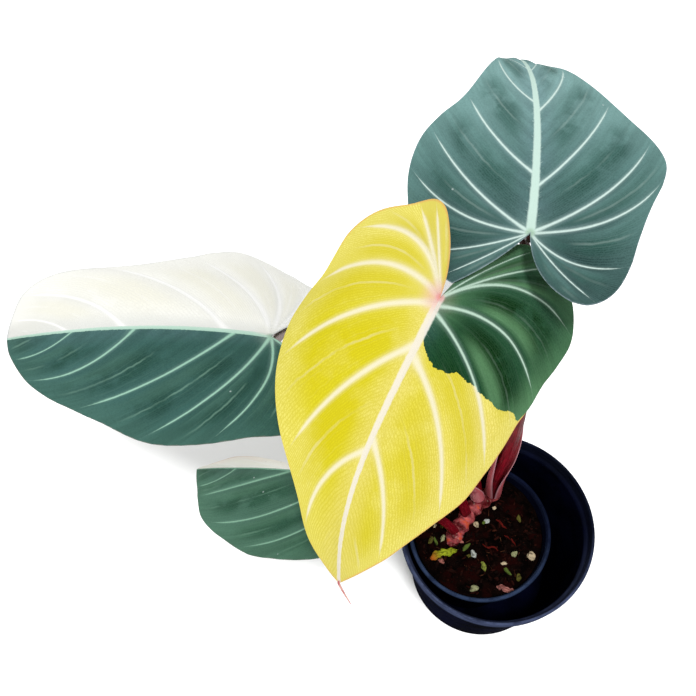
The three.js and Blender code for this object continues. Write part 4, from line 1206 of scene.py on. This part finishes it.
# the front leaf ends in a dried point: a tube that thins with the square root of the way left.
# It starts a little back from the tip and just under the midrib, and goes straight on for a bit.
dripTip = dict(
    reach=13, radius=0.75, bend=(0.5, -0.8, -0.33), back=2, under=0.4, on=(0, 2.5, 3.5, 3.5),
    bent=(0, 0, 0.4, 1), skin=[(196, 96, 104), (240, 190, 176)],
)


def makeDripTip(stations):
    startMaterial("driedPoint")
    shade = noise(place, 0.002, 3)
    skin = dress(blend(span(shade, 0.35, 0.65), *dripTip["skin"]), 0.6, 1.1, shade, 0.0002)
    (places, axes), bend = stations, dripTip["reach"] * np.array(dripTip["bend"])
    along, up = axes[-1][[0, 2]]
    start = places[-1] - dripTip["back"] * along - dripTip["under"] * up
    path = smoothPath([start + on * along + bent * bend
                       for on, bent in zip(dripTip["on"], dripTip["bent"])], 30)
    radiusAt = lambda s, angle: dripTip["radius"] * np.sqrt(1.02 - s) + 0 * angle
    fit(makePiece("dripTipFront", tube(path, (0, 0, 1), 12, radiusAt), skin), "blade_front")


makeDripTip(leafStations["front"])
print("leaves")


# creeping stem, stalks and sheaths: paths are (x, y, z), and a sheath opens towards a bearing
rhizome = dict(
    path=[(-34, -6, 96), (-27, 4, 100), (-18, 16, 101.5), (-8, 26, 101.5), (4, 34, 101),
          (12, 41, 103)],
    radius=6.4, swell=0.8, nodes=7, scars=88, scarRise=0.08, knobs=0.22, roots=5, rootLength=34,
    rootRadius=1.5, rootSpread=9, rootTurn=2.4,
)
# a stalk's top colour is that at its leaf end: the back stalk's near-black end is painted shade,
# and the left stalk's grey end is lightened against the shade there
stalks = {
    "back": dict(path=[(5.5, 33.5, 101), (1.5, 31, 150), (3, 31, 200), (5, 38, 245), (10, 66, 280),
                       (14, 108, 301), (7, 128, 328)],
                 base=4.9, tip=3, approach=9, top=(48, 8, 10)),
    "front": dict(path=[(-7, 27, 101), (-14, 38, 145), (-22, 50, 195), (-30, 66, 245),
                        (-41, 80, 285)], base=4.6, tip=3, approach=20, top=(130, 30, 36)),
    "left": dict(path=[(-17, 17, 101), (-28, 25, 140), (-46, 42, 180), (-83, 80, 215),
                       (-135, 123, 238)], base=4.4, tip=3.2, approach=12, top=(176, 162, 160)),
    "low": dict(path=[(-27, 4, 100), (-38, 6, 125), (-56, 11, 147), (-78, 17, 160)],
                base=3.9, tip=2.5, approach=10, top=(120, 84, 80)),
}
sheaths = {
    "tall": dict(on="back", start=10, length=145, opens=262, spread=170, flare=2.2),
    "short": dict(on="front", start=12, length=30, opens=60, spread=100, flare=2.6),
}
stalkForm = dict(
    rings=150, sides=36, side=(0.6, -0.8, 0), power=0.7, channel=0.2, ridge=0.05, ridgeAt=0.75,
    ridgeWidth=0.2, flute=0.02, flutes=9, clear=0.6, inward=1.5,
)
sheathForm = dict(rows=90, columns=40, clear=0.6, thick=0.9, curl=0.5, rib=0.12, ribs=14)


# a stalk's skin: streaks along its length from rose to maroon, green near the leaf, pale flecks,
# and its own colour at the leaf end, which is painted shade on the back stalk and lightened against
# shade on the left one
def stalkMaterial(name, top):
    startMaterial(name)
    run, angle, share = attributeParts("stem")
    turn = [calc(wave, angle) for wave in ("SINE", "COSINE")]
    around = lambda wide, long: combine(*(times(part, wide) for part in turn), times(run, long))
    streak, patch = noise(around(0.02, 0.00022), 0.0032, 4, 0.6), noise(place, 0.016, 3)
    fleck = noise(around(0.03, 0.0012), 0.0035)
    colour = layered(
        (100, 2, 16), (span(streak, 0.35, 0.65), (158, 18, 40)),
        (span(patch, 0.45, 0.7, 0, 0.8), (84, 6, 16)),
        (span(share, 0.35, 0.8, 0, 0.85), (122, 92, 84)), (span(share, 0.8, 0.9, 0, 0.95), top),
        (span(fleck, 0.68, 0.76, 0, 0.45), (216, 160, 150)))
    return dress(colour, 0.42, 1.2, plus(streak, times(fleck, 0.4)), 0.0004, 0.6)


# a fleshy sheath: crimson and wet inside, rosy outside with a paler edge
def sheathMaterial():
    startMaterial("sheathSkin")
    s, rim, inside = attributeParts("sheet")
    streak = noise(combine(times(rim, 0.012), times(s, 0.006)), 0.0009, 3, 0.6)
    grain, patch = span(streak, 0.35, 0.65), noise(place, 0.009, 3)
    outer = layered((214, 84, 104), (grain, (250, 176, 176)),
                    (span(patch, 0.5, 0.7, 0, 0.6), (164, 20, 54)))
    inner = blend(grain, (168, 2, 26), (226, 28, 58))
    colour = layered(outer, (inside, inner), (span(rim, 0.1, 0.7, 0.9, 0), (226, 104, 112)),
                     (span(rim, 0, 0.14, 0.95, 0), (236, 170, 180)))
    return dress(colour, 0.38, 1.25, streak, 0.0003, 0.6)


# the creeping stem: rings of old leaf scars, papery brown between them, a red growing end
def rhizomeMaterial():
    startMaterial("creepingStem")
    share = attributeParts("stem")[2]
    ring = calc("SINE", plus(times(share, 88), times(noise(place, 0.006), 4)))
    patch, fine = noise(place, 0.007, 3), noise(place, 0.0015, 3)
    colour = layered((92, 10, 18), (span(patch, 0.35, 0.65), (208, 98, 102)),
                     (span(ring, 0.3, 0.95, 0, 0.5), (72, 8, 8)),
                     (span(patch, 0.58, 0.68, 0, 0.8), (224, 84, 40)),
                     (span(fine, 0.6, 0.75, 0, 0.6), (200, 180, 160)))
    return dress(colour, 0.5, 1.2, plus(ring, fine), 0.0005, 0.6)


# a stalk's centre line: its own points, then squarely up to the leaf's joint
def stalkLine(name):
    stalk, blade = stalks[name], blades[name]
    places, axes = leafStations[name]
    along, across, up = axes[0]
    right, left = blade["right"]["fold"], blade["left"]["fold"]
    tilt, ridge = math.radians((right - left) / 2), math.radians(max((right + left) / 2, 0))
    seat = leafForm["thickness"] + stalkForm["clear"] + stalk["tip"] * math.tan(ridge)
    down = math.cos(tilt) * up + math.sin(tilt) * across
    under = lambda depth: places[0] + stalkForm["inward"] * along - depth * down
    return [*stalk["path"], under(seat + stalk["approach"]), under(seat)]


# a stalk: round, with a shallow channel cos^4 a deep on one face, a low ridge on either side of
# it, a bell curve of the angle, and flutes that wind a little. Its radius runs from the base to
# the tip with a power of the way.
def makeStalk(name):
    stalk, form = stalks[name], stalkForm

    def radiusAt(s, angle):
        plain = stalk["base"] + (stalk["tip"] - stalk["base"]) * s ** form["power"]
        channel = form["channel"] * np.maximum(np.cos(angle), 0) ** 4
        fromChannel = np.abs(np.mod(angle + np.pi, 2 * np.pi) - np.pi)
        fromRidge = (fromChannel - form["ridgeAt"]) / form["ridgeWidth"]
        ridges = form["ridge"] * np.exp(-fromRidge ** 2)
        flutes = form["flute"] * np.sin(form["flutes"] * angle + 3 * s)
        return plain * (1 - channel + ridges + flutes)
    skin = stalkMaterial("stalkSkin" + name.capitalize(), stalk["top"])
    path = smoothPath(stalkLine(name), form["rings"])
    shape = tube(path, form["side"], form["sides"], radiusAt, 0.4)
    fit(makePiece("stalk" + name.capitalize(), shape, skin), "petiole", "petiole_" + name)


# a sheath round the foot of a stalk: a strip bent to the stalk that narrows to a point as the
# power 1.6 of the way and leans out with its square; it thins to its edges. "sheet" holds the way
# up it, the share of the half width from the edge, and 1 inside.
def makeSheath(name, material):
    sheath, form = sheaths[name], sheathForm
    line = stalkLine(sheath["on"])
    path = smoothPath(line, 400)
    s, u = np.linspace(0, 1, form["rows"])[:, None], np.linspace(-1, 1, form["columns"])[None, :]
    at = (sheath["start"] + sheath["length"] * s) / fineCurve(line)[1][-1]
    centre = [np.interp(at, np.linspace(0, 1, len(path)), column) for column in path.T]
    half = math.radians(sheath["spread"]) * (1 - s ** 1.6) + 0.05
    angle = math.radians(sheath["opens"]) + math.pi + half * u
    ribs = form["rib"] * np.sin(form["ribs"] * angle) * (1 - u ** 2)
    reach = (stalks[sheath["on"]]["base"] + form["clear"] + sheath["flare"] * s ** 2
             + form["curl"] * np.abs(u) ** 6 * (1 - s) + ribs)
    thin = form["thick"] * (1 - 0.6 * np.abs(u) ** 8)
    x, y, z = centre
    outer, inner = (vectorsOf(x + out * np.cos(angle), y + out * np.sin(angle), z)
                    for out in (reach + thin, reach))
    shapes = [gridShape(grid, {"sheet": vectorsOf(s * sheath["length"], 1 - np.abs(u), inside)},
                        flip=inside > 0) for grid, inside in ((outer, 0), (inner, 1))]
    for edge, flip in ((np.s_[:, 0], True), (np.s_[:, -1], False), (np.s_[0, :], False),
                       (np.s_[-1, :], True)):
        strip = np.stack([outer[edge], inner[edge]], 1)
        shapes.append(gridShape(strip, {"sheet": np.zeros(3)}, flip=flip))
    piece = makePiece("sheath" + name.capitalize(), joinShapes(shapes), material, sharp=55)
    fit(piece, "cataphyll", "cataphyll_" + name)


# the creeping stem swells at its nodes as a cosine, with fine rings and knobs, and sends roots
# down, each straight but for a sine to the side
def makeRhizome(material):
    path = smoothPath(rhizome["path"], 160)

    def radiusAt(s, angle):
        swell = rhizome["swell"] * np.cos(2 * np.pi * rhizome["nodes"] * s)
        ends = np.minimum(1, 0.45 + 6 * np.minimum(s, 1 - s))
        rings = rhizome["scarRise"] * np.sin(rhizome["scars"] * s)
        knobs = rhizome["knobs"] * wander(40 * s + 0 * angle, 3 * angle + 0 * s, 2, 9)
        return (rhizome["radius"] + swell + (rings + knobs)) * ends
    rootRadiusAt = lambda s, angle: rhizome["rootRadius"] * (1 - 0.6 * s) + 0 * angle
    shapes = [tube(path, (0, 0, 1), 48, radiusAt, 0.5)]
    for i in range(rhizome["roots"]):
        at = (i + 0.6) / (rhizome["roots"] + 0.4)
        x, y, z = path[int(round(at * (len(path) - 1)))]
        turn, s = rhizome["rootTurn"] * i, np.array([0, 0.35, 0.7, 1])
        spread = rhizome["rootSpread"] * s
        line = vectorsOf(x + spread * math.cos(turn) + 2 * np.sin(5 * s),
                         y + spread * math.sin(turn), z - 1 - rhizome["rootLength"] * s)
        shapes.append(tube(smoothPath(line, 24), (1, 0, 0), 10, rootRadiusAt))
    fit(makePiece("rhizomeStem", joinShapes(shapes), material), "rhizome", "rhizome")


for name in stalks:
    makeStalk(name)
sheathSkin = sheathMaterial()
for name in sheaths:
    makeSheath(name, sheathSkin)
makeRhizome(rhizomeMaterial())
print("stem, stalks and sheaths")
